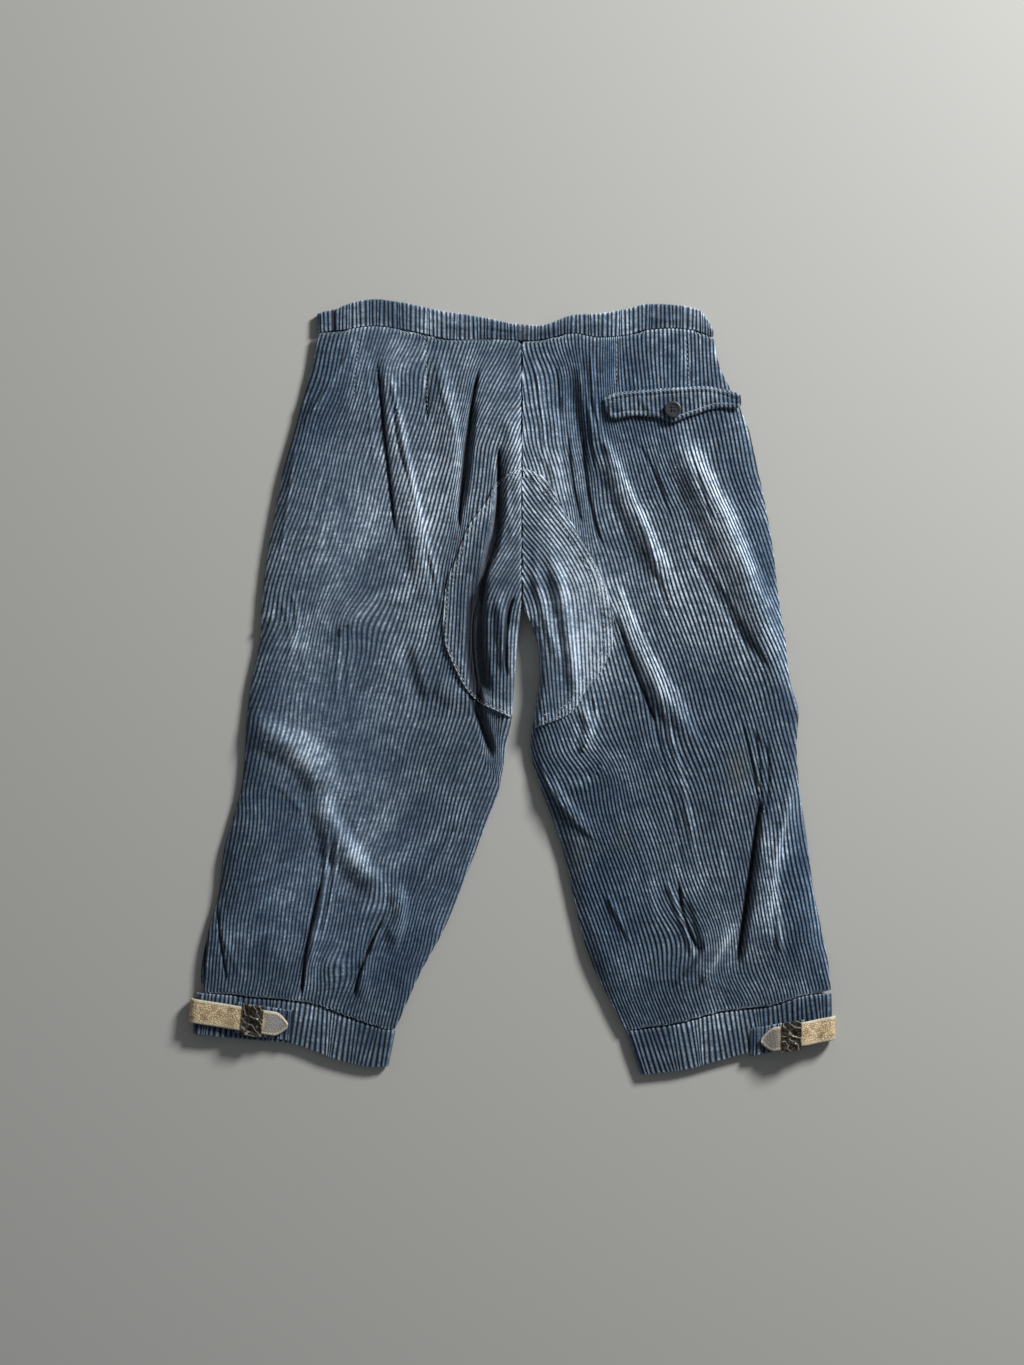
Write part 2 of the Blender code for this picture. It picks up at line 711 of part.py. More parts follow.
def make_strap(name, strap):
    radius = (BAND_TOP + LIFT + SEAM_GAP) / 2
    centre = radius + STRAP_WALL / 2
    half = STRAP_WIDE / 2
    loops = []

    def add(distance, z, normal, half_wide):
        ends = [strap.place(distance, side * half_wide) for side in (-1, 1)]
        loops.append(band_loop(*[Vector((*p, z)) for p in ends], normal, STRAP_WALL))

    up = Vector((0, 0, 1))
    for i in range(4):
        add(centre + STRAP_INSIDE * (1 - i / 4), STRAP_WALL / 2, -up, half)
    turns = 8
    for i in range(turns + 1):
        angle = math.pi * i / turns
        normal = Vector((*(strap.along * -math.sin(angle)), -math.cos(angle)))
        add(centre - radius * math.sin(angle), centre - radius * math.cos(angle), normal, half)
    straight = strap.length - centre - STRAP_TIP
    steps = round(straight / STRAP_STEP)
    for i in range(1, steps + 1):
        distance = centre + straight * i / steps
        add(distance, strap.underside(distance) + STRAP_WALL / 2, up, half)
    for share, width in TIP_SHAPE:
        distance = strap.length - STRAP_TIP * (1 - share)
        add(distance, strap.underside(distance) + STRAP_WALL / 2, up, half * width)
    loft(name, loops, LEATHER, 0.6)


def make_tab(name, strap):
    row = strap.row
    loops = []
    steps = 8
    for i in range(steps + 1):
        distance = row.tab_from + (row.tab_to - row.tab_from) * i / steps
        ends = [strap.place(distance, side * row.tab_high / 2) for side in (-1, 1)]
        z = strap.tab_top(distance) - TAB_WALL / 2
        loops.append(band_loop(*[Vector((*p, z)) for p in ends], Vector((0, 0, 1)), TAB_WALL))
    loft(name, loops, CORDUROY, CLOTH_ROUGH)


def make_buckle(name, strap):
    """A flat metal sleeve round the strap, with a plain raised bar pattern on its face."""
    row = strap.row
    half = row.buckle_high / 2
    hole = STRAP_WIDE / 2 + SEAM_GAP
    low = strap.buckle_low
    inner_low = low + BUCKLE_PLATE
    inner_high = inner_low + STRAP_WALL + 2 * SEAM_GAP
    high = inner_high + BUCKLE_PLATE

    def ring(distance):
        outer = [(-half, low), (half, low), (half, high), (-half, high)]
        inner = [(-hole, inner_low), (hole, inner_low), (hole, inner_high), (-hole, inner_high)]
        return [Vector((*strap.place(distance, c), z)) for c, z in outer + inner]

    points = ring(row.buckle_from) + ring(row.buckle_to)
    faces = []
    for k in range(4):
        m = (k + 1) % 4
        faces.append((k, m, 8 + m, 8 + k))
        faces.append((4 + k, 4 + m, 12 + m, 12 + k))
        faces.append((k, m, 4 + m, 4 + k))
        faces.append((8 + k, 8 + m, 12 + m, 12 + k))
    item = solid(name, points, faces, BRONZE, 0.45, 1.0, flat=True)
    bevel = item.modifiers.new("soft edges", "BEVEL")
    bevel.width = BUCKLE_BEVEL * MM
    bevel.segments = 1
    bevel.limit_method = "ANGLE"
    middle = (row.buckle_from + row.buckle_to) / 2
    reach = (row.buckle_to - row.buckle_from) / 2 - BAR_MARGIN
    for i, (from_cross, to_cross) in enumerate(BARS):
        start = strap.place(middle - reach, from_cross * (half - BAR_MARGIN))
        end = strap.place(middle + reach, to_cross * (half - BAR_MARGIN))
        run = (end - start).normalized()
        side = Vector((-run.y, run.x)) * BAR_HALF
        foot = [start - side, end - side, end + side, start + side]
        bar_points = [Vector((*p, high - 0.5)) for p in foot]
        bar_points += [Vector((*(p * 0.6 + (start + end) * 0.2), high + BUCKLE_RELIEF)) for p in foot]
        bar_faces = [(0, 1, 2, 3), (4, 5, 6, 7)]
        bar_faces += [(k, (k + 1) % 4, 4 + (k + 1) % 4, 4 + k) for k in range(4)]
        bar = solid(f"{name} bar {i}", bar_points, bar_faces, BRONZE, 0.45, 1.0, flat=True)
        bar.hide_render = True
        bar.display_type = "WIRE"
        join = item.modifiers.new(f"bar {i}", "BOOLEAN")
        join.operation = "UNION"
        join.solver = "EXACT"
        join.object = bar


def make_prism(name, outline):
    """A tall cutter with the given outline in the plan."""
    low = -20.0
    high = 60.0
    count = len(outline)
    points = [(x, y, z) for z in (low, high) for x, y in outline]
    faces = [tuple(range(count)), tuple(range(count, 2 * count))]
    for k in range(count):
        m = (k + 1) % count
        faces.append((k, m, count + m, count + k))
    cutter = solid(name, points, faces, CORDUROY, CLOTH_ROUGH, flat=True)
    cutter.hide_render = True
    cutter.display_type = "WIRE"
    return cutter


def make_laid(name, tops, outline, wall, tilt=0.0, hinge_y=0.0, reach=0.0):
    """A piece that lies on a back panel: the panel's own points, moved up, cut to its outline."""
    columns = ACROSS + 1
    xs = [x for x, _ in outline]
    ys = [y for _, y in outline]
    rows_in = [
        j
        for j in range(ALONG + 1)
        if any(min(ys) < tops[j * columns + i].y < max(ys) for i in (0, ACROSS // 2, ACROSS))
    ]
    first_row = max(rows_in[0] - 1, 0)
    last_row = min(rows_in[-1] + 1, ALONG)
    columns_in = [
        i
        for i in range(columns)
        if any(
            min(xs) < tops[j * columns + i].x < max(xs) for j in range(first_row, last_row + 1)
        )
    ]
    first = max(columns_in[0] - 1, 0)
    last = min(columns_in[-1] + 1, ACROSS)
    lifted = []
    heights = []
    for j in range(first_row, last_row + 1):
        for i in range(first, last + 1):
            point = tops[j * columns + i].copy()
            heights.append(point.z)
            if i == 0 and reach:
                inner = tops[j * columns + 2]
                point = Vector((point.x + reach, point.y, inner.z))
            point.z += SEAM_GAP + tilt * max(hinge_y - point.y, 0.0)
            lifted.append(point)
    raised = [p + Vector((0, 0, wall)) for p in lifted]
    faces = sheet_faces(last - first + 1, last_row - first_row + 1, heights)
    item = solid(name, raised + lifted, faces, CORDUROY_WORN, CLOTH_ROUGH)
    cut = item.modifiers.new("outline", "BOOLEAN")
    cut.operation = "INTERSECT"
    cut.solver = "EXACT"
    cut.object = make_prism(f"{name} outline", outline)


def cylinder(name, x, y, low, high, radius, sides):
    """A closed round solid or cutter."""
    rings = [
        (x + radius * math.cos(2 * math.pi * k / sides), y + radius * math.sin(2 * math.pi * k / sides))
        for k in range(sides)
    ]
    points = [(px, py, z) for z in (low, high) for px, py in rings]
    faces = [tuple(range(sides)), tuple(range(sides, 2 * sides))]
    faces += [(k, (k + 1) % sides, sides + (k + 1) % sides, sides + k) for k in range(sides)]
    return solid(name, points, faces, HORN, 0.5)


def make_button(name, tops):
    """A four-hole button with a dished face, on the flap."""
    near = [
        p.z - FLAP_TILT * (p.y - FLAP_HINGE_Y)
        for p in tops
        if math.hypot(p.x - BUTTON_X, p.y - BUTTON_Y) < BUTTON_RADIUS + 5
    ]
    low = max(near) + FLAP_WALL + 2 * SEAM_GAP
    high = low + BUTTON_THICK
    item = cylinder(name, BUTTON_X, BUTTON_Y, low, high, BUTTON_RADIUS, 24)
    bevel = item.modifiers.new("round rim", "BEVEL")
    bevel.width = 0.6 * MM
    bevel.segments = 2
    bevel.limit_method = "ANGLE"
    above = high + 3
    dish_low = high - BUTTON_DISH_DEEP
    cutters = [cylinder(f"{name} dish", BUTTON_X, BUTTON_Y, dish_low, above, BUTTON_DISH_RADIUS, 20)]
    for k in range(4):
        angle = math.radians(45 + 90 * k)
        hole_x = BUTTON_X + BUTTON_HOLE_OFF_CENTRE * math.cos(angle)
        hole_y = BUTTON_Y + BUTTON_HOLE_OFF_CENTRE * math.sin(angle)
        hole = cylinder(f"{name} hole {k}", hole_x, hole_y, low - 3, above, BUTTON_HOLE_RADIUS, 8)
        cutters.append(hole)
    for cutter in cutters:
        cutter.hide_render = True
        cutter.display_type = "WIRE"
        cut = item.modifiers.new(cutter.name, "BOOLEAN")
        cut.operation = "DIFFERENCE"
        cut.solver = "EXACT"
        cut.object = cutter


left_leg = Leg(LEFT_LEG, LEFT_WAIST, LEFT_CUFF)
right_leg = Leg(RIGHT_LEG, RIGHT_WAIST, RIGHT_CUFF)

make_front("front_left", left_leg)
make_front("front_right", right_leg)
left_tops = make_back("back_left", left_leg)
right_tops = make_back("back_right", right_leg)

make_front_band("waistband_front", left_leg, right_leg)
make_back_band("waistband_back_left", left_leg, LEFT_BAND, FRONT_WRAP / LEFT_WAIST_WIDE)
make_back_band("waistband_back_right", right_leg, RIGHT_BAND, 0.0)

make_laid("seat_patch_left", left_tops, LEFT_PATCH, PATCH_WALL)
make_laid("seat_patch_right", right_tops, RIGHT_PATCH, PATCH_WALL)
make_laid("pocket_flap", right_tops, FLAP_OUTLINE, FLAP_WALL, FLAP_TILT, FLAP_HINGE_Y, FLAP_REACH)
make_button("flap_button", right_tops)

for side, leg, hem, row in (
    ("left", left_leg, LEFT_HEM, LEFT_FASTENING),
    ("right", right_leg, RIGHT_HEM, RIGHT_FASTENING),
):
    make_cuff(f"cuff_{side}", leg, hem)
    strap = Strap(row, leg, hem)
    make_tab(f"cuff_tab_{side}", strap)
    make_strap(f"strap_{side}", strap)
    make_buckle(f"buckle_{side}", strap)
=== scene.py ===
"""The looks of a child's corduroy knee breeches, laid flat on the table with the back up."""

import math
from collections import namedtuple

import bmesh
import bpy
import numpy as np
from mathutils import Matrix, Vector


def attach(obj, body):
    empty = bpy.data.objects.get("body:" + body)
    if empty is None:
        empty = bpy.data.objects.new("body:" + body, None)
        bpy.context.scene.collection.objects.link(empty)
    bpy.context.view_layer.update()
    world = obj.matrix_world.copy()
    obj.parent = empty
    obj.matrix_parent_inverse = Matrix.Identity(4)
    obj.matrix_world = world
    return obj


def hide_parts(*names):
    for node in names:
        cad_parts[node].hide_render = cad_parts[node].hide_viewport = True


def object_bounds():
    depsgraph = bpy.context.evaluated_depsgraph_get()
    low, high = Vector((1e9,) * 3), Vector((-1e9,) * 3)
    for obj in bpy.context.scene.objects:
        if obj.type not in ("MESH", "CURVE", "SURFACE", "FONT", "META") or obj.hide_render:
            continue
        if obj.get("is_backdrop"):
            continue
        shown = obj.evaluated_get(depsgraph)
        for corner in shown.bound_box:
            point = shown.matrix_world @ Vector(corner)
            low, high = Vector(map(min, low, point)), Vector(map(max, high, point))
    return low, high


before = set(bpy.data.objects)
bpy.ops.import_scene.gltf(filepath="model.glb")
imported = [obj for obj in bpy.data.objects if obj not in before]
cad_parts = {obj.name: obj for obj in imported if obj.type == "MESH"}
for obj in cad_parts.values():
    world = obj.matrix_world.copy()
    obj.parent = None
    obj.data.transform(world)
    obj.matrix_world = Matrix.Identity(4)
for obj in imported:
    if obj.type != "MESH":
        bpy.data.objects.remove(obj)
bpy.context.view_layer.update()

# Back panels: wide-wale cotton corduroy, cut on the straight grain at the sides and sewn together on
# the bias along the centre seam, so that the wales meet there in a chevron. They lie in soft folds
# over the flat fronts, and the waistband and the cuffs hold them down at their ends.
MM = 0.001
WALE = 2.9  # from groove to groove
WALE_DEEP = 0.95
WORN_LOW = 0.68  # where the cloth is worn flat, a wale loses this share of its height
WALE_COLUMNS = ((0.0, 0.0), (0.14, 0.74), (0.5, 1.0), (0.86, 0.74))  # share of a wale, share of its height
WALL = 1.8
SEAM_GAP = 0.3
STEEPEST = 1.7  # a slope stretches the wall by no more than this
BACK_FLOOR = WALL + SEAM_GAP
CENTRE_SEAM_X = 6.8
BAND_WALL = 2.4
BAND_LOW = BAND_WALL + 2 * SEAM_GAP
BAND_TOP = BAND_LOW + BAND_WALL
RIM_TOP = 4.7
EDGE_RISE = 3.8
EDGE_REACH = 15.0
CROWN_RISE = 2.4
CROWN_REACH = 52.0
SWELL_POWER = 2.2
BULK_X = 8  # the cloth stands thicker and steeper round the crotch
BULK_Y = 8
BULK_ACROSS = 26
BULK_ALONG = 40
BULK_REACH = 3.5
BULK_STEEPER = 0.7
BULK_LEFT = 3.0
BULK_RIGHT = 6.5
FOLD_SWELL = 1.35  # the folds stand this much higher than the solid's
WAVE_SHARE = 0.6
CREASE_REACH = 12  # from a side seam to where creases stand full
SEAM_HOLD = 45.0
SEAM_PUFF = 0.25
PRESSED_AT_SEAM = 0.3
PRESSED_REACH = 14
SEAM_ROLL = 0.6  # the cloth rolls down into a seam by this much
SEAM_ROLL_REACH = 2.4
SIDE_ROLL = 0.7
SIDE_ROLL_REACH = 1.8

Section = namedtuple("Section", "outer_x outer_y inner_x inner_y")
LEFT_LEG = [
    Section(-132.6, 240.4, 6.8, 234.9),
    Section(-136.0, 217.6, 6.8, 212.2),
    Section(-147.7, 174.8, 6.8, 170.7),
    Section(-155.0, 148.9, 6.8, 146.2),
    Section(-161.7, 115.6, 6.8, 114.9),
    Section(-166.6, 86.4, 6.8, 86.4),
    Section(-170.0, 55.1, 6.4, 56.4),
    Section(-171.0, 32.0, 4.4, 36.4),
    Section(-176.8, 4.8, 2.0, 7.5),
    Section(-179.9, -20.4, 0.0, -20.4),
    Section(-181.2, -42.8, -4.4, -44.2),
    Section(-183.3, -66.6, -8.2, -68.6),
    Section(-189.0, -87.7, -17.0, -92.8),
    Section(-195.8, -112.2, -26.9, -117.6),
    Section(-198.9, -140.1, -38.1, -146.2),
    Section(-204.7, -159.8, -48.3, -169.3),
    Section(-210.1, -180.2, -61.9, -193.8),
    Section(-214.2, -206.7, -78.9, -231.9),
]
RIGHT_LEG = [
    Section(136.7, 237.3, 6.8, 234.9),
    Section(141.4, 216.9, 6.8, 212.2),
    Section(151.6, 196.5, 6.8, 191.8),
    Section(160.8, 174.8, 6.8, 170.7),
    Section(166.9, 148.9, 6.8, 146.2),
    Section(173.7, 115.6, 6.8, 114.9),
    Section(178.2, 86.4, 6.8, 86.4),
    Section(181.9, 55.1, 8.0, 54.4),
    Section(185.6, 32.0, 16.3, 34.7),
    Section(188.4, 4.8, 19.0, 8.2),
    Section(194.5, -14.9, 15.0, -18.4),
    Section(193.5, -38.0, 12.6, -41.5),
    Section(194.5, -63.2, 17.7, -63.9),
    Section(197.9, -87.0, 26.5, -87.7),
    Section(201.3, -110.8, 34.7, -110.8),
    Section(204.7, -138.0, 40.8, -138.0),
    Section(208.8, -158.4, 46.2, -161.2),
    Section(214.2, -182.9, 53.7, -187.0),
    Section(216.9, -207.4, 76.8, -232.9),
]
CROTCH_Y = 43.0
LEFT_WAIST = ((0, 0), (0.1, 1.9), (0.27, 5.9), (0.38, 5.1), (0.48, 3.0), (0.65, -1.2), (0.86, 0.3), (1, 0))
RIGHT_WAIST = (
    (0, 0), (0.08, 4.3), (0.2, 6.5), (0.36, 5.7), (0.45, 2.5), (0.6, 1.3), (0.74, 4.4), (0.9, 0.6), (1, 0)
)
LEFT_CUFF = ((0, 0), (0.3, 3.7), (0.58, 6.5), (0.76, 2.1), (0.94, -1.1), (1, 0))
RIGHT_CUFF = ((0, 0), (0.12, 1.6), (0.3, -1.4), (0.52, 0.8), (0.75, -1.7), (1, 0))
SEAM_FADE = 0.12

# Each fold starts, bends and ends at three points. Its reach to the left and to the right and its
# height follow, negative for a trough
Fold = namedtuple("Fold", "x0 y0 x1 y1 x2 y2 west east height")
FOLDS = [
    Fold(-86, 229, -83, 165, -74, 93, 3, 12, 1.8),
    Fold(-80, 201, -68, 131, -53, 42, 12, 5, 2.8),
    Fold(-51, 235, -41, 182, -36, 110, 14, 6, 2.4),
    Fold(-26, 199, -31, 154, -37, 108, 4, 5, -3.5),
    Fold(-10, 165, -9, 117, -20, 73, 4, 5, -5.0),
    Fold(-20, 83, -24, 35, -17, -12, 9, 8, -7.0),
    Fold(-10, 69, -6, 35, -3, 5, 6, 5, 2.5),
    Fold(-26, 2, -20, -24, -12, -51, 4, 5, -3.5),
    Fold(-71, 29, -68, 8, -58, -17, 7, 7, -2.0),
    Fold(-52, 3, -44, -3, -35, -12, 11, 11, 2.2),
    Fold(-105, 239, -122, 205, -146, 173, 3, 4, 1.3),
    Fold(-185, -25, -144, -44, -123, -78, 15, 16, 3.6),
    Fold(-129, -67, -115, -104, -82, -140, 15, 9, 3.9),
    Fold(-80, -133, -74, -152, -84, -182, 11, 5, 3.2),
    Fold(-135, -157, -139, -184, -141, -211, 3, 11, 2.2),
    Fold(-99, -179, -102, -194, -103, -213, 3, 8, 2.0),
    Fold(-2, 192, 1, 158, 4, 122, 8, 7, 1.6),
    Fold(47, 231, 49, 195, 63, 158, 9, 4, 2.2),
    Fold(60, 169, 84, 116, 112, 62, 13, 7, 3.6),
    Fold(37, 233, 44, 187, 52, 124, 7, 6, -2.5),
    Fold(30, 195, 31, 158, 31, 119, 10, 6, 2.4),
    Fold(106, 177, 149, 98, 193, -12, 20, 12, 5.5),
    Fold(69, 69, 90, 18, 136, -53, 11, 7, 3.2),
    Fold(25, 100, 38, 39, 44, -17, 7, 6, 3.4),
    Fold(45, -9, 52, -28, 46, -46, 6, 5, 2.4),
    Fold(14, 86, 22, 51, 35, 8, 5, 4, 2.0),
    Fold(25, -59, 37, -79, 58, -99, 6, 4, 2.0),
    Fold(35, -69, 53, -64, 69, -43, 4, 4, 1.6),
    Fold(172, -75, 165, -135, 156, -196, 3, 12, 3.4),
    Fold(194, -67, 176, -123, 176, -189, 13, 4, 3.2),
    Fold(148, -162, 138, -182, 124, -205, 7, 5, 2.4),
    Fold(116, -141, 122, -162, 128, -184, 5, 5, -1.8),
]
# Small creases, too fine for the solid
CREASES = [
    Fold(-92, 57, -104, 46, -115, 41, 3, 4, 1.5),
    Fold(-161, 66, -150, 39, -154, 12, 3, 3, 1.0),
    Fold(-168, -62, -151, -73, -136, -94, 3, 4, 1.0),
    Fold(-197, -138, -165, -128, -134, -110, 3, 4, 0.8),
    Fold(-117, -162, -100, -155, -83, -148, 3, 4, 0.9),
    Fold(-202, -158, -188, -186, -184, -199, 2, 4, 1.1),
    Fold(-32, -90, -49, -118, -66, -138, 3, 5, 1.2),
    Fold(-127, -190, -120, -186, -112, -192, 5, 5, 1.2),
    Fold(-88, 216, -78, 224, -64, 223, 3, 4, 0.8),
    Fold(63, -141, 70, -150, 77, -165, 3, 4, 1.1),
    Fold(141, -107, 141, -119, 141, -131, 3, 4, 1.0),
    Fold(87, -196, 120, -200, 155, -203, 3, 4, 0.9),
    Fold(24, 111, 16, 93, 19, 73, 3, 3, 1.1),
    Fold(60, 175, 64, 160, 70, 145, 3, 4, 1.2),
    Fold(150, 196, 142, 150, 160, 96, 4, 5, 0.9),
    Fold(110, 175, 122, 140, 140, 96, 7, 7, 0.5),
    Fold(92, 178, 100, 150, 118, 108, 5, 6, 0.6),
    Fold(-5, 140, -2, 120, 1, 96, 3, 3, 0.9),
    Fold(-150, 150, -160, 110, -165, 70, 3, 4, 0.7),
    Fold(-120, 150, -128, 110, -140, 60, 4, 5, 0.7),
    Fold(-58, 100, -50, 70, -48, 40, 3, 4, 0.9),
    Fold(80, -100, 92, -130, 96, -170, 4, 5, 0.8),
    Fold(-160, -150, -166, -180, -166, -205, 3, 4, 0.8),
    Fold(200, -150, 204, -175, 208, -200, 3, 3, 0.8),
]
# Pressed creases: narrow and deep, dark inside from their depth and from painted shade, or narrow and high
# with a worn crest
PRESSED = [
    Fold(-92, 224, -85.5, 165, -78.6, 100, 1.3, 1.5, -3.2),
    Fold(-22, 218, -31, 162, -36, 104, 2.2, 1.7, -4.8),
    Fold(-8.9, 165, -9.5, 125, -14, 95, 2.0, 1.6, -4.5),
    Fold(-12, 104, -18, 75, -25, 45, 4.5, 2.2, -5.0),
    Fold(-24, 66, -27, 25, -20, -15, 6.5, 3.5, -5.0),
    Fold(-58.6, 198, -58, 190, -57, 180, 1.2, 1.2, -2.5),
    Fold(48, 228, 50, 190, 57, 140, 2.2, 1.6, -1.5),
    Fold(38, 226, 43, 187, 50, 130, 5.0, 5.0, 0.9),
    Fold(-129, -132, -138, -172, -143, -213, 1.6, 1.5, -4.2),
    Fold(-124, -96, -128, -140, -137, -186, 2.4, 2.0, 2.2),
    Fold(-117, -96, -122, -140, -131, -176, 2.0, 1.8, 1.6),
    Fold(-86, -156, -99, -182, -107, -210, 1.6, 1.5, -3.8),
    Fold(-66, -140, -84, -154, -96, -182, 2.2, 2.0, 1.8),
    Fold(-200, -148, -197, -176, -193, -200, 1.3, 1.3, -2.2),
    Fold(-33, -88, -48, -112, -72, -148, 1.8, 2.2, 2.4),
    Fold(-26, -84, -40, -108, -64, -142, 1.6, 1.8, 1.8),
    Fold(-86, 66, -103, 50, -119, 36, 2.6, 3.2, 2.6),
    Fold(-114, 42, -117, 20, -118, -12, 3.0, 3.0, 1.1),
    Fold(-107, 44, -110, 20, -110, -8, 2.4, 2.4, 0.8),
    Fold(-94, 53, -80, 55, -64, 51, 2.0, 2.0, -1.0),
    Fold(-150, 66, -145, 44, -151, 18, 2.8, 2.8, 1.3),
    Fold(-172, 40, -164, 46, -160, 50, 1.6, 1.6, 1.8),
    Fold(-128, 152, -134, 124, -142, 92, 1.8, 1.6, 0.8),
    Fold(-146, 165, -151, 130, -157, 84, 1.8, 1.8, 0.9),
    Fold(168, -76, 162, -125, 152, -192, 3.0, 2.2, -5.2),
    Fold(193, -60, 179, -122, 184, -186, 5.0, 3.0, 3.4),
    Fold(155, -22, 163, -55, 168, -86, 1.5, 1.5, -2.2),
    Fold(172, -36, 174, -65, 170, -92, 1.5, 1.5, -2.0),
    Fold(164, -26, 168, -58, 169, -90, 1.3, 1.3, -1.8),
    Fold(113, -130, 117, -158, 128, -180, 1.8, 1.6, -3.2),
    Fold(128, -200, 140, -182, 153, -158, 3.0, 2.5, 2.6),
    Fold(103, -128, 115, -158, 124, -184, 3.0, 2.5, 2.0),
    Fold(130, -172, 121, -190, 105, -206, 3.0, 2.4, -1.8),
    Fold(87, 5, 104, -56, 117, -131, 2.4, 2.0, -0.9),
    Fold(94, 8, 112, -50, 125, -124, 3.5, 3.0, 1.2),
    Fold(19, -48, 33, -79, 60, -104, 2.4, 1.6, 1.8),
    Fold(54, -4, 56, -25, 44, -47, 1.8, 1.6, 1.6),
    Fold(65, -48, 54, -61, 35, -67, 1.8, 1.6, 1.4),
    Fold(64, -140, 72, -156, 82, -176, 2.0, 1.6, 1.3),
    Fold(70, 73, 91, 28, 123, -22, 3.5, 2.2, 2.2),
    Fold(71, 47, 84, 10, 98, -26, 1.7, 1.6, -2.3),
    Fold(113, 102, 138, 62, 166, 18, 3.4, 3.0, -1.2),
    Fold(126, 88, 150, 50, 176, 8, 4.2, 3.2, -1.4),
    Fold(164, 64, 182, 46, 186, 20, 2.6, 2.0, 1.5),
    Fold(113, 170, 143, 122, 163, 66, 9.0, 8.0, 1.2),
    Fold(49, 172, 51, 135, 62, 92, 2.4, 2.0, -2.0),
    Fold(38, 172, 41, 140, 48, 108, 1.6, 1.6, -1.6),
    Fold(86, 98, 98, 74, 108, 44, 3.0, 3.0, -1.2),
    Fold(-30, 0, -23, -22, -12, -50, 2.0, 2.0, -3.5),
    Fold(2, 62, -4, 40, -3, 4, 2.0, 2.2, -3.5),
    Fold(54, 230, 55.5, 195, 62, 168, 2.5, 2.0, 1.8),
    Fold(59.6, 171, 80, 132, 102, 69, 3.5, 2.5, 1.6),
    Fold(-82, 214, -69, 150, -49, 62, 3.5, 2.0, 2.6),
    Fold(-52, 222, -47, 200, -42, 180, 1.6, 1.6, 1.0),
    Fold(-138, 196, -150, 180, -160, 163, 1.8, 1.4, 0.8),
    Fold(-137, 214, -128, 210, -120, 204, 1.6, 1.4, 0.7),
    Fold(-50, 228, -42, 190, -30, 140, 2.2, 2.0, 0.8),
    Fold(-98, 228, -96, 190, -93, 150, 1.8, 1.8, 0.7),
    Fold(-74, 206, -79, 180, -70, 140, 1.5, 1.5, -1.4),
    Fold(14, 226, 20, 190, 22, 150, 2.2, 2.2, 1.3),
    Fold(30, 222, 33, 180, 36, 140, 1.5, 1.6, -1.3),
    Fold(84, 168, 98, 140, 108, 110, 1.8, 1.8, -1.2),
    Fold(118, 166, 126, 140, 137, 108, 1.8, 1.8, -1.2),
    Fold(-105, 234, -122, 206, -144, 174, 2.4, 1.8, 1.1),
]
# Darts and other lines of stitches that pull the cloth down
DARTS = [
    Fold(-103, 238, -106, 216, -107, 194, 1.6, 1.6, -1.0),
    Fold(-58.5, 238, -58, 212, -57, 187, 1.6, 1.6, -1.2),
    Fold(71, 236, 71, 220, 70, 204, 1.6, 1.6, -1.0),
    Fold(118, 237, 119, 220, 120, 204, 1.6, 1.6, -1.0),
]
FOLD_STEPS = 10
FOLD_TAPER = 0.25
DART_TAPER = 0.06
PRESSED_TAPER = 0.14
FAR = 1e9
UP = np.array((0, 0, 1.0))


def smooth(share):
    """0 to 1 with a soft start and end."""
    share = np.clip(share, 0.0, 1.0)
    return share * share * (3 - 2 * share)


def catmull(before, start, end, after, share):
    """A value on a smooth curve between the middle two of four values."""
    pull = (end - before) / 2
    push = (after - start) / 2
    jump = start - end
    bend = (2 * jump + pull + push) * share + (-3 * jump - 2 * pull - push)
    return bend * share * share + pull * share + start


def read_rows(rows, where):
    """The columns of a table, after its first, at a value of the first."""
    last = len(rows) - 2
    i = 0
    while i < last and rows[i + 1][0] < where:
        i += 1
    share = (where - rows[i][0]) / (rows[i + 1][0] - rows[i][0])
    share = min(max(share, 0.0), 1.0)
    values = []
    for column in range(1, len(rows[0])):
        start = rows[i][column]
        end = rows[i + 1][column]
        before = rows[i - 1][column] if i else 2 * start - end
        after = rows[i + 2][column] if i < last else 2 * end - start
        values.append(catmull(before, start, end, after, share))
    return values


SIDE_STEPS = 90
END_LINE_STEPS = 40


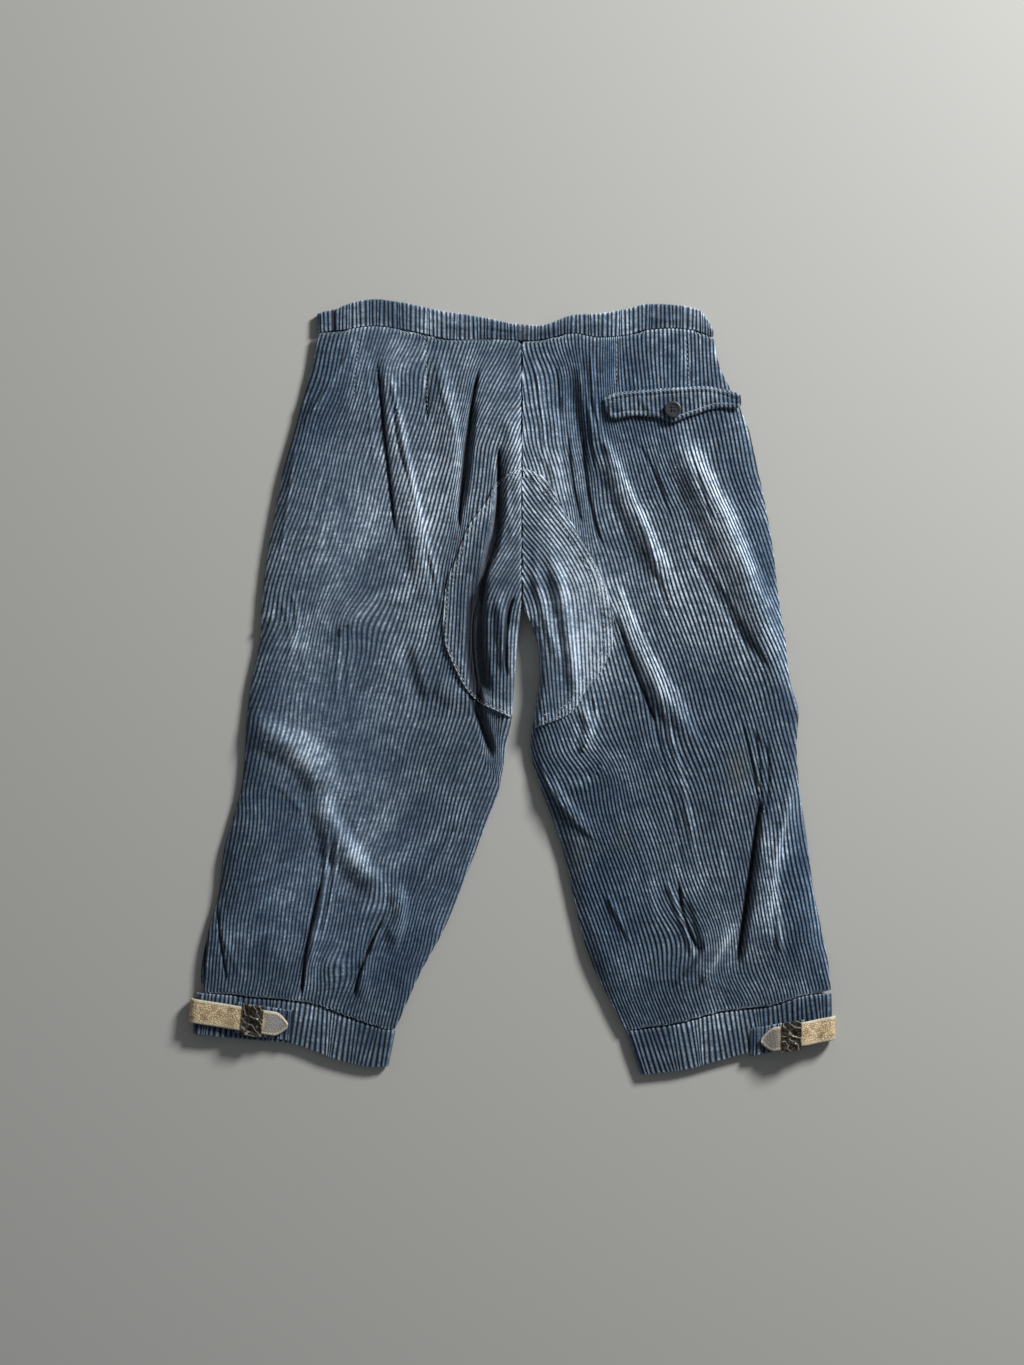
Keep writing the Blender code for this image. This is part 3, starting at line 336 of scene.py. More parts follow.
class Leg:
    """One leg's outline in the plan, in millimetres."""

    def __init__(self, sections, waist_rise, cuff_rise):
        self.waist_rise = waist_rise
        self.cuff_rise = cuff_rise
        self.length = 0.0
        self.rows = []
        for i, section in enumerate(sections):
            if i:
                before = sections[i - 1]
                step_x = (section.outer_x + section.inner_x - before.outer_x - before.inner_x) / 2
                step_y = (section.outer_y + section.inner_y - before.outer_y - before.inner_y) / 2
                self.length += math.hypot(step_x, step_y)
            self.rows.append((self.length, *section))
        self.hand = math.copysign(1, sections[0].outer_x)
        self.side = self.line([(0, i / SIDE_STEPS) for i in range(SIDE_STEPS + 1)])
        self.inner = self.line([(1, i / SIDE_STEPS) for i in range(SIDE_STEPS + 1)])
        self.waist = self.line([(i / END_LINE_STEPS, 0) for i in range(END_LINE_STEPS + 1)])
        self.cuff = self.line([(i / END_LINE_STEPS, 1) for i in range(END_LINE_STEPS + 1)])
        self.inseam = self.inner[self.inner[:, 1] < CROTCH_Y]
        near_seam = np.abs(self.inner[:, 0] - CENTRE_SEAM_X) < SEAM_GAP
        self.inner[near_seam, 0] += self.hand * SEAM_GAP / 2
        self.outline = np.vstack([self.waist, self.inner[1:-1], self.cuff[::-1], self.side[::-1][1:-1]])
        self.outline[: len(self.waist), 1] -= SEAM_GAP

    def point(self, across, along):
        """The place at a share of the way across, from the side seam, and down the leg."""
        outer_x, outer_y, inner_x, inner_y = read_rows(self.rows, along * self.length)
        x = outer_x + (inner_x - outer_x) * across
        y = outer_y + (inner_y - outer_y) * across
        y += read_rows(self.waist_rise, across)[0] * float(smooth(1 - along / SEAM_FADE))
        y += read_rows(self.cuff_rise, across)[0] * float(smooth(1 - (1 - along) / SEAM_FADE))
        return np.array((x, y))

    def line(self, places):
        """A line through places given as shares."""
        return np.array([self.point(*place) for place in places])


def to_line(x, y, line):
    """The distance to a line, negative on its left, and the share of the way along it."""
    nearest = np.full(x.shape, FAR)
    where = np.zeros(x.shape)
    side = np.ones(x.shape)
    count = len(line) - 1
    for i in range(count):
        run_x, run_y = line[i + 1] - line[i]
        length = run_x * run_x + run_y * run_y
        if length < 1e-9:
            continue
        share = np.clip(((x - line[i][0]) * run_x + (y - line[i][1]) * run_y) / length, 0, 1)
        off_x = x - line[i][0] - run_x * share
        gap = np.hypot(off_x, y - line[i][1] - run_y * share)
        closer = gap < nearest
        nearest = np.where(closer, gap, nearest)
        where = np.where(closer, (i + share) / count, where)
        side = np.where(closer, np.where(off_x >= 0, 1.0, -1.0), side)
    return nearest * side, where


def off_line(x, y, line):
    """The plain distance to a line."""
    return np.abs(to_line(x, y, line)[0])


def inside_by(x, y, outline):
    """How far a place is inside a closed outline, negative outside."""
    nearest = np.full(x.shape, FAR)
    within = np.zeros(x.shape, bool)
    for (ax, ay), (bx, by) in zip(outline, np.roll(outline, -1, axis=0)):
        run_x = bx - ax
        run_y = by - ay
        length = run_x * run_x + run_y * run_y
        if length < 1e-9:
            continue
        share = np.clip(((x - ax) * run_x + (y - ay) * run_y) / length, 0, 1)
        gap = np.hypot(x - ax - run_x * share, y - ay - run_y * share)
        nearest = np.minimum(nearest, gap)
        if abs(run_y) > 1e-9:
            within ^= ((ay > y) != (by > y)) & (x < ax + (y - ay) / run_y * run_x)
    return np.where(within, nearest, -nearest)


def fold_line(fold):
    """Points along a fold's curve through its three places."""
    start = np.array((fold.x0, fold.y0), float)
    end = np.array((fold.x2, fold.y2), float)
    pull = 2 * np.array((fold.x1, fold.y1), float) - (start + end) / 2
    shares = np.linspace(0, 1, FOLD_STEPS + 1)[:, None]
    return start * (1 - shares) ** 2 + pull * (2 * shares * (1 - shares)) + end * shares**2


def folds_height(x, y, folds, fade=FOLD_TAPER):
    """The sum of the folds at each place."""
    total = np.zeros(x.shape)
    for fold in folds:
        line = fold_line(fold)
        reach = max(fold.west, fold.east)
        low = line.min(axis=0) - reach
        high = line.max(axis=0) + reach
        near = (x > low[0]) & (x < high[0]) & (y > low[1]) & (y < high[1])
        if not near.any():
            continue
        off, share = to_line(x[near], y[near], line)
        bell = np.clip(1 - (off / np.where(off > 0, fold.east, fold.west)) ** 2, 0, 1) ** 2
        taper = smooth(share / fade) * smooth((1 - share) / fade)
        total[near] += fold.height * bell * taper
    return total


def little_folds(seed, count, box):
    """Faint creases that run roughly down the legs, uneven in length, width and height."""
    draw = np.random.default_rng(seed)
    made = []
    for _ in range(count):
        x = draw.uniform(box[0], box[2])
        y = draw.uniform(box[1], box[3])
        length = draw.uniform(10, 34)
        lean = draw.normal(0, 0.5) + (0.2 if x < 0 else -0.2)
        dx = math.sin(lean) * length / 2
        dy = math.cos(lean) * length / 2
        bow = draw.normal(0, 2.5)
        reach = (draw.uniform(2, 4), draw.uniform(2, 5))
        made.append(Fold(x + dx, y + dy, x + bow, y, x - dx, y - dy, *reach, draw.uniform(-0.5, 0.7)))
    return made


LITTLE_FOLDS = little_folds(11, 170, (-205, -225, 205, 235))
Wave = namedtuple("Wave", "across along start high")
WAVES = [
    Wave(0.071, 0.043, 0.3, 0.5),
    Wave(-0.052, 0.088, 1.7, 0.42),
    Wave(0.123, -0.061, 4.1, 0.3),
    Wave(0.031, 0.148, 2.2, 0.3),
]


def waves_height(x, y, waves):
    """Long soft waves all over the cloth."""
    return sum(wave.high * np.sin(x * wave.across + y * wave.along + wave.start) for wave in waves)


def swell(distance, reach):
    """0 at an edge, rising steeply and then softly to 1 at the reach."""
    return 1 - (1 - np.minimum(distance / reach, 1.0)) ** SWELL_POWER


def back_loose(leg, x, y):
    """The top of a back panel before its seams' rolls and its wales."""
    edge = np.minimum(off_line(x, y, leg.side), off_line(x, y, leg.inseam))
    bulky = np.exp(-(((x - BULK_X) / BULK_ACROSS) ** 2) - ((y - BULK_Y) / BULK_ALONG) ** 4)
    rise = EDGE_RISE * swell(edge, EDGE_REACH * (1 - BULK_STEEPER * bulky))
    rise = rise + CROWN_RISE * swell(edge, CROWN_REACH)
    rise = rise + (BULK_RIGHT if leg.hand > 0 else BULK_LEFT) * bulky * swell(edge, BULK_REACH)
    calm = smooth(edge / CREASE_REACH)
    small = folds_height(x, y, CREASES) + folds_height(x, y, LITTLE_FOLDS)
    small = small + WAVE_SHARE * waves_height(x, y, WAVES)
    loose = RIM_TOP + rise + FOLD_SWELL * folds_height(x, y, FOLDS) + small * calm
    seam = np.minimum(off_line(x, y, leg.waist), off_line(x, y, leg.cuff))
    free = SEAM_PUFF + (1 - SEAM_PUFF) * smooth(seam / SEAM_HOLD)
    top = (BAND_TOP + SEAM_GAP) * (1 - free) + loose * free
    pressed = folds_height(x, y, PRESSED, PRESSED_TAPER)
    pressed = pressed * (PRESSED_AT_SEAM + (1 - PRESSED_AT_SEAM) * smooth(seam / PRESSED_REACH))
    return top + pressed + folds_height(x, y, DARTS, DART_TAPER)


def back_top(leg, x, y):
    """The top of a back panel, and how much the slope stretches its wall."""
    top = back_loose(leg, x, y)
    slope_x = back_loose(leg, x + 1, y) - top
    slope_y = back_loose(leg, x, y + 1) - top
    stretch = np.minimum(np.sqrt(1 + slope_x**2 + slope_y**2), STEEPEST)
    return np.maximum(top, BACK_FLOOR + WALL * stretch), stretch


# The lines of the wales: the lean of the straight grain down the leg, and the creases that swallow
# cloth, so that the wales on their two sides lean differently
Gather = namedtuple("Gather", "line taken wide")  # line: y, x; taken: y, millimetres of cloth


def read_line(rows, y):
    """A table of y and value, at many values of y."""
    rows = sorted(rows)
    return np.interp(y, [row[0] for row in rows], [row[1] for row in rows])


def sum_line(rows, y):
    """The sum of a table's value from y = 0 up."""
    ys = np.arange(-300, 301, 2.0)
    values = read_line(rows, ys)
    total = np.concatenate([[0], np.cumsum((values[1:] + values[:-1]) / 2 * 2.0)])
    return np.interp(y, ys, total - np.interp(0, ys, total))


LEFT_LEAN = ((245, -0.25), (190, -0.27), (100, -0.29), (0, -0.27), (-120, -0.2), (-235, -0.16))
LEFT_GATHERS = [
    Gather(
        ((245, -23), (199, -27), (163, -31), (108, -36), (40, -41), (-40, -46)),
        ((245, 0), (163, 14), (108, 12), (-30, 0)),
        18,
    ),
    Gather(
        ((245, -8), (165, -10), (117, -10), (73, -20), (35, -24), (-12, -18), (-51, -11), (-75, 4)),
        ((245, 0), (165, 0), (73, 18), (-100, 18)),
        18,
    ),
]
RIGHT_LEAN = ((245, 0.08), (200, 0.14), (160, 0.31), (60, 0.34), (-60, 0.32), (-140, 0.27), (-235, 0.3))
RIGHT_GATHERS = [
    Gather(
        ((245, 36), (187, 43), (124, 48), (60, 40), (0, 20), (-30, 5)),
        ((245, 0), (124, 15), (60, 15), (-30, 15)),
        26,
    ),
    Gather(
        ((245, 68), (180, 66), (120, 80), (60, 100)),
        ((245, 12), (190, 10), (120, 0), (-30, 0)),
        18,
    ),
]
LEG_SPREAD = ((245, 0.14), (60, 0.05), (-20, 0.0), (-235, 0.28))
LEG_MIDDLE = ((245, 62), (50, 92), (-235, 147))
DRAWN_IN = 0.97  # the cloth's width for each millimetre across

# Places where folds push the wales aside: centre, reach across and along, millimetres to the right
Swing = namedtuple("Swing", "x y across along shift")
SWINGS = [
    Swing(122, -168, 26, 20, 8),
    Swing(104, -205, 22, 18, -4),
    Swing(152, -196, 18, 16, -4),
    Swing(178, -120, 18, 30, -4),
    Swing(60, -60, 26, 18, 5),
    Swing(110, -40, 26, 24, -3),
    Swing(-127, -190, 14, 13, -5),
    Swing(-108, -196, 13, 13, 4),
    Swing(-84, -150, 16, 22, 6),
    Swing(-110, 44, 22, 16, -6),
    Swing(-150, 44, 14, 16, 4),
    Swing(-150, -30, 26, 20, 4),
    Swing(-75, 216, 22, 14, -5),
    Swing(-120, 205, 16, 20, 3),
    Swing(34, 205, 18, 20, 3),
    Swing(118, 150, 26, 24, -4),
]
WAVERS = [Wave(1 / 19, 1 / 23, 0, 0.9), Wave(1 / 11, -1 / 17, 2, 0.5), Wave(1 / 7, 1 / 8, 4, 0.25)]


def wander(x, y):
    """The wales waver a little and give way to folds, in millimetres."""
    total = waves_height(x, y, WAVERS)
    for swing in SWINGS:
        off_x = (x - swing.x) / swing.across
        off_y = (y - swing.y) / swing.along
        total = total - swing.shift * np.exp(-(off_x**2) - off_y**2)
    return total


def leg_phase(lean, gathers, middle_x):
    """A function that gives how many wales lie to the left of a place."""

    def phase(x, y):
        middle = read_line(middle_x, y)
        cloth = DRAWN_IN * x + sum_line(lean, y) + wander(x, y)
        cloth = cloth + read_line(LEG_SPREAD, y) * (x - middle)
        for gather in gathers:
            past = smooth((x - read_line(gather.line, y)) / gather.wide + 0.5)
            cloth = cloth + read_line(gather.taken, y) * past
        return cloth / WALE

    return phase


END_SLACK = 8  # a line may start or end this much sooner than its neighbour


def shared_run(own, other):
    """The first and the last point of a line that lie beside its neighbour, both given from the top down."""
    first = max(int(np.searchsorted(-own, -other[0] - END_SLACK)) - 1, 0)
    last = min(int(np.searchsorted(-own, -other[-1] + END_SLACK)), len(own) - 1)
    return first, last


def zip_columns(left, right, y, faces, level):
    """Adds the faces between two neighbouring lines of points, both from the top down."""
    i, left_end = shared_run(y[left], y[right])
    j, right_end = shared_run(y[right], y[left])
    while i < left_end or j < right_end:
        next_left = y[left[i + 1]] if i < left_end else -FAR
        next_right = y[right[j + 1]] if j < right_end else -FAR
        if abs(next_left - next_right) < level:
            faces.append((left[i], left[i + 1], right[j + 1], right[j]))
            i += 1
            j += 1
        elif next_left > next_right:
            faces.append((left[i], left[i + 1], right[j]))
            i += 1
        else:
            faces.append((left[i], right[j + 1], right[j]))
            j += 1


END_STEPS = (0.0, 0.8, 1.8, 3.2)  # extra points near both ends of every line, where a seam rolls the cloth
END_STEPS_WHOLE = 2.5  # rows closer together than this bring the extra points closer too
CLEAR_OF_ENDS = 0.3  # so much of a row's step stays free beside the extra points
SAME_LEVEL = 0.7  # neighbouring points nearer than this share of the first extra step lie level
GRID_MARGIN = 12
GRID_COLUMNS = 900
TAKEN_STEEPEST = 0.9  # a slope takes up cloth, and the wales lie closer there in the plan
TAKEN_REACH = 14
OUT_MOST = 11  # a line of wales goes on where it leaves the outline by less
EDGE_LINES = 60  # so many lines of points past an edge are drawn in to it
EDGE_SQUEEZE = 0.75


def count_wales(phase, xs, ys, step, height):
    """How many wales lie to the left of each place of a grid."""
    table = phase(xs[None, :], ys[:, None])
    if height is not None:
        high = height(*np.meshgrid(xs, ys))
        step_x = xs[1] - xs[0]
        slope = np.minimum(np.abs(np.diff(high, axis=1, prepend=high[:, :1]) / step_x), TAKEN_STEEPEST)
        taken = np.cumsum(np.sqrt(1 + slope**2) - 1, axis=1) * step_x
        middle = len(xs) // 2
        taken -= taken[:, middle : middle + 1]
        soft = np.hanning(2 * round(TAKEN_REACH / step) + 1)
        padded = np.pad(taken, ((len(soft) // 2, len(soft) // 2), (0, 0)), mode="edge")
        taken = sum(share * padded[i : i + len(ys)] for i, share in enumerate(soft / soft.sum()))
        table = table + taken / WALE
    return np.maximum.accumulate(table + xs[None, :] * 1e-4, axis=1)


def find_ends(inner, ys, step):
    """The number of each line that lies inside the outlines, with its lowest and its highest y."""
    lines = []
    for k in range(inner.shape[1]):
        inside = np.flatnonzero(inner[:, k] > 0)
        if len(inside) < 2:
            continue
        jumps = np.flatnonzero(np.diff(inside) > 1)
        breaks = [i for i in jumps if inner[inside[i] : inside[i + 1], k].min() < -OUT_MOST]
        run = max(np.split(inside, np.array(breaks, int) + 1), key=len)
        low, high = run[0], run[-1]
        y_low, y_high = ys[low], ys[high]
        if low > 0:
            y_low -= step * inner[low, k] / (inner[low, k] - inner[low - 1, k])
        if high < len(ys) - 1:
            y_high += step * inner[high, k] / (inner[high, k] - inner[high + 1, k])
        if y_high - y_low > 2 * END_STEPS[-1] * step / END_STEPS_WHOLE + 1:
            lines.append((k, y_low, y_high))
    return lines


def press_to_edge(place_x, inner):
    """Where a wale runs out over the edge and comes back, it is pressed against the edge."""
    for row in range(len(place_x)):
        across = np.flatnonzero(inner[row] > 0)
        if len(across) < 2:
            continue
        for first, way in ((across[0], -1), (across[-1], 1)):
            out = np.arange(first + way, -1 if way < 0 else place_x.shape[1], way)[:EDGE_LINES]
            if len(out) == 0:
                continue
            near = place_x[row, first]
            beyond = max(inner[row, first] - inner[row, out[0]], 1e-6)
            edge_x = near + (place_x[row, out[0]] - near) * inner[row, first] / beyond
            place_x[row, out] = edge_x + (near - edge_x) * EDGE_SQUEEZE ** np.arange(1, len(out) + 1)


def wale_cloth(phase, outlines, step, height=None):
    """Lines of points that each follow one line of the wales inside the outlines, and the faces between
    them. Gives x, y, the place in wales, the width of the wale and the faces."""
    low_x, low_y = outlines[0].min(axis=0)
    high_x, high_y = outlines[0].max(axis=0)
    ys = np.arange(low_y - step / 2, high_y + 1.5 * step, step)
    xs = np.linspace(low_x - GRID_MARGIN, high_x + GRID_MARGIN, GRID_COLUMNS)
    table = count_wales(phase, xs, ys, step, height)
    heights = dict(WALE_COLUMNS)
    numbers = range(math.floor(table.min()), math.ceil(table.max()))
    wanted = np.array([k + share for k in numbers for share in heights])
    place_x = np.array([np.interp(wanted, line, xs) for line in table])
    place_y = np.repeat(ys[:, None], len(wanted), axis=1)
    inner = np.full(place_x.shape, FAR)
    for outline in outlines:
        inner = np.minimum(inner, inside_by(place_x, place_y, outline))
    wide = np.abs(np.roll(place_x, -len(heights), axis=1) - place_x)
    press_to_edge(place_x, inner)
    all_x, all_y, all_u, all_wide, columns = [], [], [], [], []
    count = 0
    near_end = np.array(END_STEPS) * min(step / END_STEPS_WHOLE, 1)
    clear = step * CLEAR_OF_ENDS
    for k, y_low, y_high in find_ends(inner, ys, step):
        level = (ys > y_low + near_end[-1] + clear) & (ys < y_high - near_end[-1] - clear)
        y = np.concatenate([y_high - near_end, ys[level][::-1], (y_low + near_end)[::-1]])
        all_y.append(y)
        all_x.append(np.interp(y, ys, place_x[:, k]))
        all_wide.append(np.interp(y, ys, wide[:, k]))
        all_u.append(np.full(len(y), wanted[k]))
        columns.append((k, np.arange(count, count + len(y))))
        count += len(y)
    y = np.concatenate(all_y)
    faces = []
    for (k, left), (m, right) in zip(columns, columns[1:]):
        if m == k + 1:
            zip_columns(left, right, y, faces, near_end[1] * SAME_LEVEL)
    return np.concatenate(all_x), y, np.concatenate(all_u), np.concatenate(all_wide), faces


FULL_WALE = WALE * 0.9  # a wale narrower than this stands lower
LOWEST_SHARE = 0.3
HIGHEST_SHARE = 1.1


def wale_relief(used, wide, flat=0.0):
    """How far each point lies below the tops of the wales."""
    heights = dict(WALE_COLUMNS)
    profile = np.array([1 - heights[share] for share in np.round(used % 1, 3)])
    narrow = np.clip(wide / FULL_WALE, LOWEST_SHARE, HIGHEST_SHARE)
    return WALE_DEEP * profile * narrow * (1 - WORN_LOW * np.clip(flat, 0, 1))


MAP_TOP_Y = 240  # the wale map counts millimetres down from here


def cloth_mesh(name, x, y, face, back, u, faces, wear_and_shade):
    """A closed sheet: its face, its back and its rim, with its wale map, its wear and its painted shade."""
    count = len(x)
    edges = {(f[i - 1], f[i]) for f in faces for i in range(len(f))}
    rim = [edge for edge in edges if edge[::-1] not in edges]
    all_faces = [tuple(map(int, f)) for f in faces]
    all_faces += [tuple(int(i) + count for i in reversed(f)) for f in faces]
    all_faces += [(int(b), int(a), int(a) + count, int(b) + count) for a, b in rim]
    points = np.vstack([np.column_stack([x, y, face]), np.column_stack([x, y, back])])
    mesh = bpy.data.meshes.new(name)
    mesh.from_pydata((points * MM).tolist(), [], all_faces)
    return finish_cloth(name, mesh, np.tile(u, 2), np.tile(MAP_TOP_Y - y, 2), np.vstack([wear_and_shade, wear_and_shade]))


def link_piece(name, mesh, sharp=math.radians(62)):
    """Turns a mesh's faces outwards, smooths it and makes its object."""
    build = bmesh.new()
    build.from_mesh(mesh)
    loose = [point for point in build.verts if not point.link_faces]
    bmesh.ops.recalc_face_normals(build, faces=build.faces)
    build.to_mesh(mesh)
    build.free()
    assert not loose, f"{name} has {len(loose)} loose points"
    mesh.shade_smooth()
    mesh.set_sharp_from_angle(angle=sharp)
    item = bpy.data.objects.new(name, mesh)
    bpy.context.scene.collection.objects.link(item)
    return item


def finish_cloth(name, mesh, u, v, wear_and_shade):
    """Puts the wale map, the wear and the painted shade on a mesh and makes its object."""
    item = link_piece(name, mesh)
    corners = np.empty(len(mesh.loops), np.int32)
    mesh.loops.foreach_get("vertex_index", corners)
    layer = mesh.uv_layers.new(name="wales")
    layer.data.foreach_set("uv", np.stack([u[corners], v[corners]], axis=1).ravel())
    wear_and_shade = np.clip(wear_and_shade, 0, 1)
    colours = mesh.color_attributes.new("wear_and_shade", "FLOAT_COLOR", "POINT")
    colours.data.foreach_set("color", wear_and_shade[:, :4].ravel())
    flat = mesh.attributes.new("flat", "FLOAT", "POINT")
    flat.data.foreach_set("value", wear_and_shade[:, 4].astype(np.float32))
    return item


def finish_piece(item, cad_node, finish):
    """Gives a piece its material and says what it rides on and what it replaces."""
    item.data.materials.append(finish)
    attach(item, "root")
    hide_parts(cad_node)


def finish_node(name, finish):
    """Gives a CAD solid that stays its material."""
    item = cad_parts[name]
    item.data.materials.clear()
    item.data.materials.append(finish)


# Where the cloth is worn pale, has kept its blue or is stained: centre, reach across and along,
# lean to the right at the top in degrees, amount
Spot = namedtuple("Spot", "x y across along lean amount")
PALE = [
    Spot(-115, 100, 50, 80, 15, 0.22),
    Spot(-98, 111, 20, 9, 70, 0.3),
    Spot(-128, 138, 10, 20, 15, 0.22),
    Spot(-128, 50, 30, 40, 15, 0.14),
    Spot(-84, 150, 10, 30, 15, 0.2),
    Spot(-62, 95, 14, 75, 10, 0.35),
    Spot(-52, 80, 7, 60, 10, 0.35),
    Spot(-30, 160, 30, 70, 5, 0.3),
    Spot(2, 150, 18, 60, 0, 0.42),
    Spot(30, 140, 14, 70, -5, 0.4),
    Spot(-148, -42, 24, 20, 30, 0.4),
    Spot(-125, -75, 14, 30, 25, 0.3),
    Spot(-100, -105, 12, 30, 30, 0.3),
    Spot(-84, -140, 10, 30, 5, 0.35),
    Spot(-110, -130, 35, 40, 10, 0.15),
    Spot(138, 100, 24, 74, -24, 0.45),
    Spot(157, 70, 12, 40, -22, 0.4),
    Spot(172, 32, 4.5, 40, -29, 0.45),
    Spot(128, 60, 30, 60, -20, 0.3),
    Spot(88, 110, 9, 50, -25, 0.5),
    Spot(105, 70, 10, 40, -25, 0.35),
    Spot(42, 60, 14, 70, -10, 0.35),
    Spot(60, 40, 30, 60, -15, 0.2),
    Spot(98, 5, 12, 55, -28, 0.35),
    Spot(45, -45, 12, 40, 15, 0.35),
    Spot(120, -110, 50, 70, -10, 0.1),
    Spot(140, -180, 24, 44, 10, 0.3),
    Spot(-60, 250, 90, 9, -3, 0.22),
    Spot(90, 250, 90, 9, 0, 0.28),
    Spot(45, 45, 40, 50, 0, 0.4),
    Spot(183, -115, 6, 44, 14, 0.5),
    Spot(180, -162, 5, 26, -4, 0.3),
    Spot(76, -198, 9, 14, 10, 0.25),
    Spot(199, -186, 5, 18, 4, 0.3),
    Spot(96, -138, 6, 26, -8, 0.2),
    Spot(-192, -176, 5, 24, 4, 0.25),
    Spot(-162, -145, 16, 7, 0, 0.45),
    Spot(-182, -168, 18, 9, -10, 0.4),
    Spot(-153, -170, 8, 12, 0, 0.4),
    Spot(-140, -196, 8, 16, 6, 0.3),
    Spot(-185, -196, 5, 10, 0, 0.25),
    Spot(-120, -188, 10, 10, -20, 0.3),
    Spot(-86, -174, 7, 12, 10, 0.25),
    Spot(-96, -206, 8, 14, -10, 0.2),
    Spot(24, 150, 10, 60, -4, 0.1),
    Spot(-104, 216, 3.5, 26, 2, 0.35),
    Spot(-58, 212, 3.5, 26, 0, 0.4),
    Spot(71, 220, 3.5, 20, 0, 0.3),
    Spot(119, 220, 3.5, 20, 0, 0.3),
    Spot(-76, 226, 16, 9, 50, 0.35),
    Spot(-30, 222, 22, 8, 70, 0.25),
    Spot(100, 214, 26, 8, 80, 0.2),
    Spot(-92, 150, 10, 50, 8, 0.2),
    Spot(-150, 110, 6, 60, 8, 0.2),
    Spot(-165, 80, 4, 70, 5, 0.25),
]
# Worn flat, the wales low
FLAT = [
    Spot(-115, 110, 48, 90, 15, 0.75),
    Spot(-125, -30, 56, 70, 15, 0.95),
    Spot(-100, -115, 44, 60, 25, 0.6),
    Spot(-85, 225, 34, 24, 0, 0.5),
    Spot(20, 200, 40, 40, 0, 0.2),
    Spot(24, 150, 10, 50, -4, 0.5),
    Spot(45, 55, 34, 70, 0, 0.8),
    Spot(0, 252, 170, 14, 0, 0.35),
    Spot(6.8, 150, 2.2, 110, 0, 0.6),
    Spot(-165, -160, 34, 50, 10, 0.5),
    Spot(-112, -192, 24, 24, 0, 0.5),
    Spot(140, -196, 34, 24, 0, 0.3),
]
# Still blue
DEEP = [
    Spot(-140, 190, 26, 50, 25, 0.5),
    Spot(-8, 208, 60, 30, 0, 0.12),
    Spot(75, 195, 50, 40, 0, 0.45),
    Spot(175, 60, 11, 90, -14, 0.5),
    Spot(120, -30, 40, 40, -30, 0.25),
    Spot(-165, -150, 50, 70, 10, 0.3),
    Spot(-60, -150, 30, 70, 22, 0.45),
    Spot(-90, -190, 60, 34, 10, 0.25),
    Spot(60, -120, 34, 90, -14, 0.45),
    Spot(110, -190, 60, 40, -10, 0.12),
    Spot(200, -140, 20, 70, -10, 0.6),
    Spot(-176, 0, 20, 60, 8, 0.2),
]
STAINS = [
    Spot(153, -57, 7, 12, 0, 0.8),
    Spot(48, -105, 9, 10, 0, 0.5),
    Spot(43, -117, 8, 8, 0, 0.45),
    Spot(75, -103, 8, 9, 0, 0.4),
]
PALE_ALL_OVER = 0.23
BLUE_ALL_OVER = 0.3
CREST_HIGH = 4  # a fold this high is worn on its crest, a pressed line at 1.1 mm
PRESSED_HIGH = 1.1
# Painted shade in the troughs of folds and pressed lines grows with their depth, and darkens the worn
# paleness there too
TROUGH_DEEP = 9
PRESSED_DEEP = 2.6
PRESSED_CREST = 0.8
CREST_PALER = 0.3
PAINTED_TROUGH_SHADE = 0.5
DEEP_DARKER = 0.35
EDGE_PALE = 0.45
EDGE_PALE_REACH = 2.0


def spots(x, y, rows):
    """The sum of a table's spots at each place."""
    total = np.zeros(x.shape)
    for spot in rows:
        turn = math.radians(spot.lean)
        off_x = (x - spot.x) * math.cos(turn) - (y - spot.y) * math.sin(turn)
        off_y = (x - spot.x) * math.sin(turn) + (y - spot.y) * math.cos(turn)
        total += spot.amount * np.exp(-((off_x / spot.across) ** 2) - (off_y / spot.along) ** 2)
    return total


def worn_and_shaded(x, y, edge=None):
    """Five values for each point: worn pale, less where painted shade darkens the troughs; painted shade in
    the troughs of folds and pressed creases; unfaded blue; stained; worn flat.
    """
    pressed = folds_height(x, y, PRESSED, PRESSED_TAPER)
    high = folds_height(x, y, FOLDS) + folds_height(x, y, CREASES)
    crest = np.clip(high / CREST_HIGH, 0, 1) + np.clip(pressed / PRESSED_HIGH, 0, 1) * PRESSED_CREST
    # Painted shade: troughs and pressed creases are darkened in colour, as shade falls in them
    painted_shade = np.clip(-high / TROUGH_DEEP, 0, 0.5) + np.clip(-pressed / PRESSED_DEEP, 0, 1) ** 1.4
    deep = spots(x, y, DEEP)
    pale = PALE_ALL_OVER + spots(x, y, PALE)
    pale = pale + CREST_PALER * crest - PAINTED_TROUGH_SHADE * painted_shade - DEEP_DARKER * deep
    blue = BLUE_ALL_OVER + deep
    if edge is not None:
        pale = pale + EDGE_PALE * np.exp(-((edge / EDGE_PALE_REACH) ** 2))
    return np.stack([pale, painted_shade, blue, spots(x, y, STAINS), spots(x, y, FLAT)], axis=-1)


def feed(tree, made, inputs):
    """Sets inputs of a node: each is a value or another node's socket."""
    for key, value in inputs.items():
        if isinstance(value, bpy.types.NodeSocket):
            tree.links.new(value, made.inputs[key])
        else:
            made.inputs[key].default_value = value


def node(tree, kind, inputs=None, **settings):
    """A shader node with its settings and inputs."""
    made = tree.nodes.new(kind)
    for key, value in settings.items():
        setattr(made, key, value)
    feed(tree, made, inputs or {})
    return made


def maths(tree, operation, first, second=0.0, clamp=False):
    """The result of a sum in the shader."""
    made = node(tree, "ShaderNodeMath", {0: first, 1: second}, operation=operation, use_clamp=clamp)
    return made.outputs[0]


def times(tree, first, second):
    return maths(tree, "MULTIPLY", first, second)


def plus(tree, first, second, clamp=False):
    return maths(tree, "ADD", first, second, clamp)


def minus(tree, first, second):
    return maths(tree, "SUBTRACT", first, second)


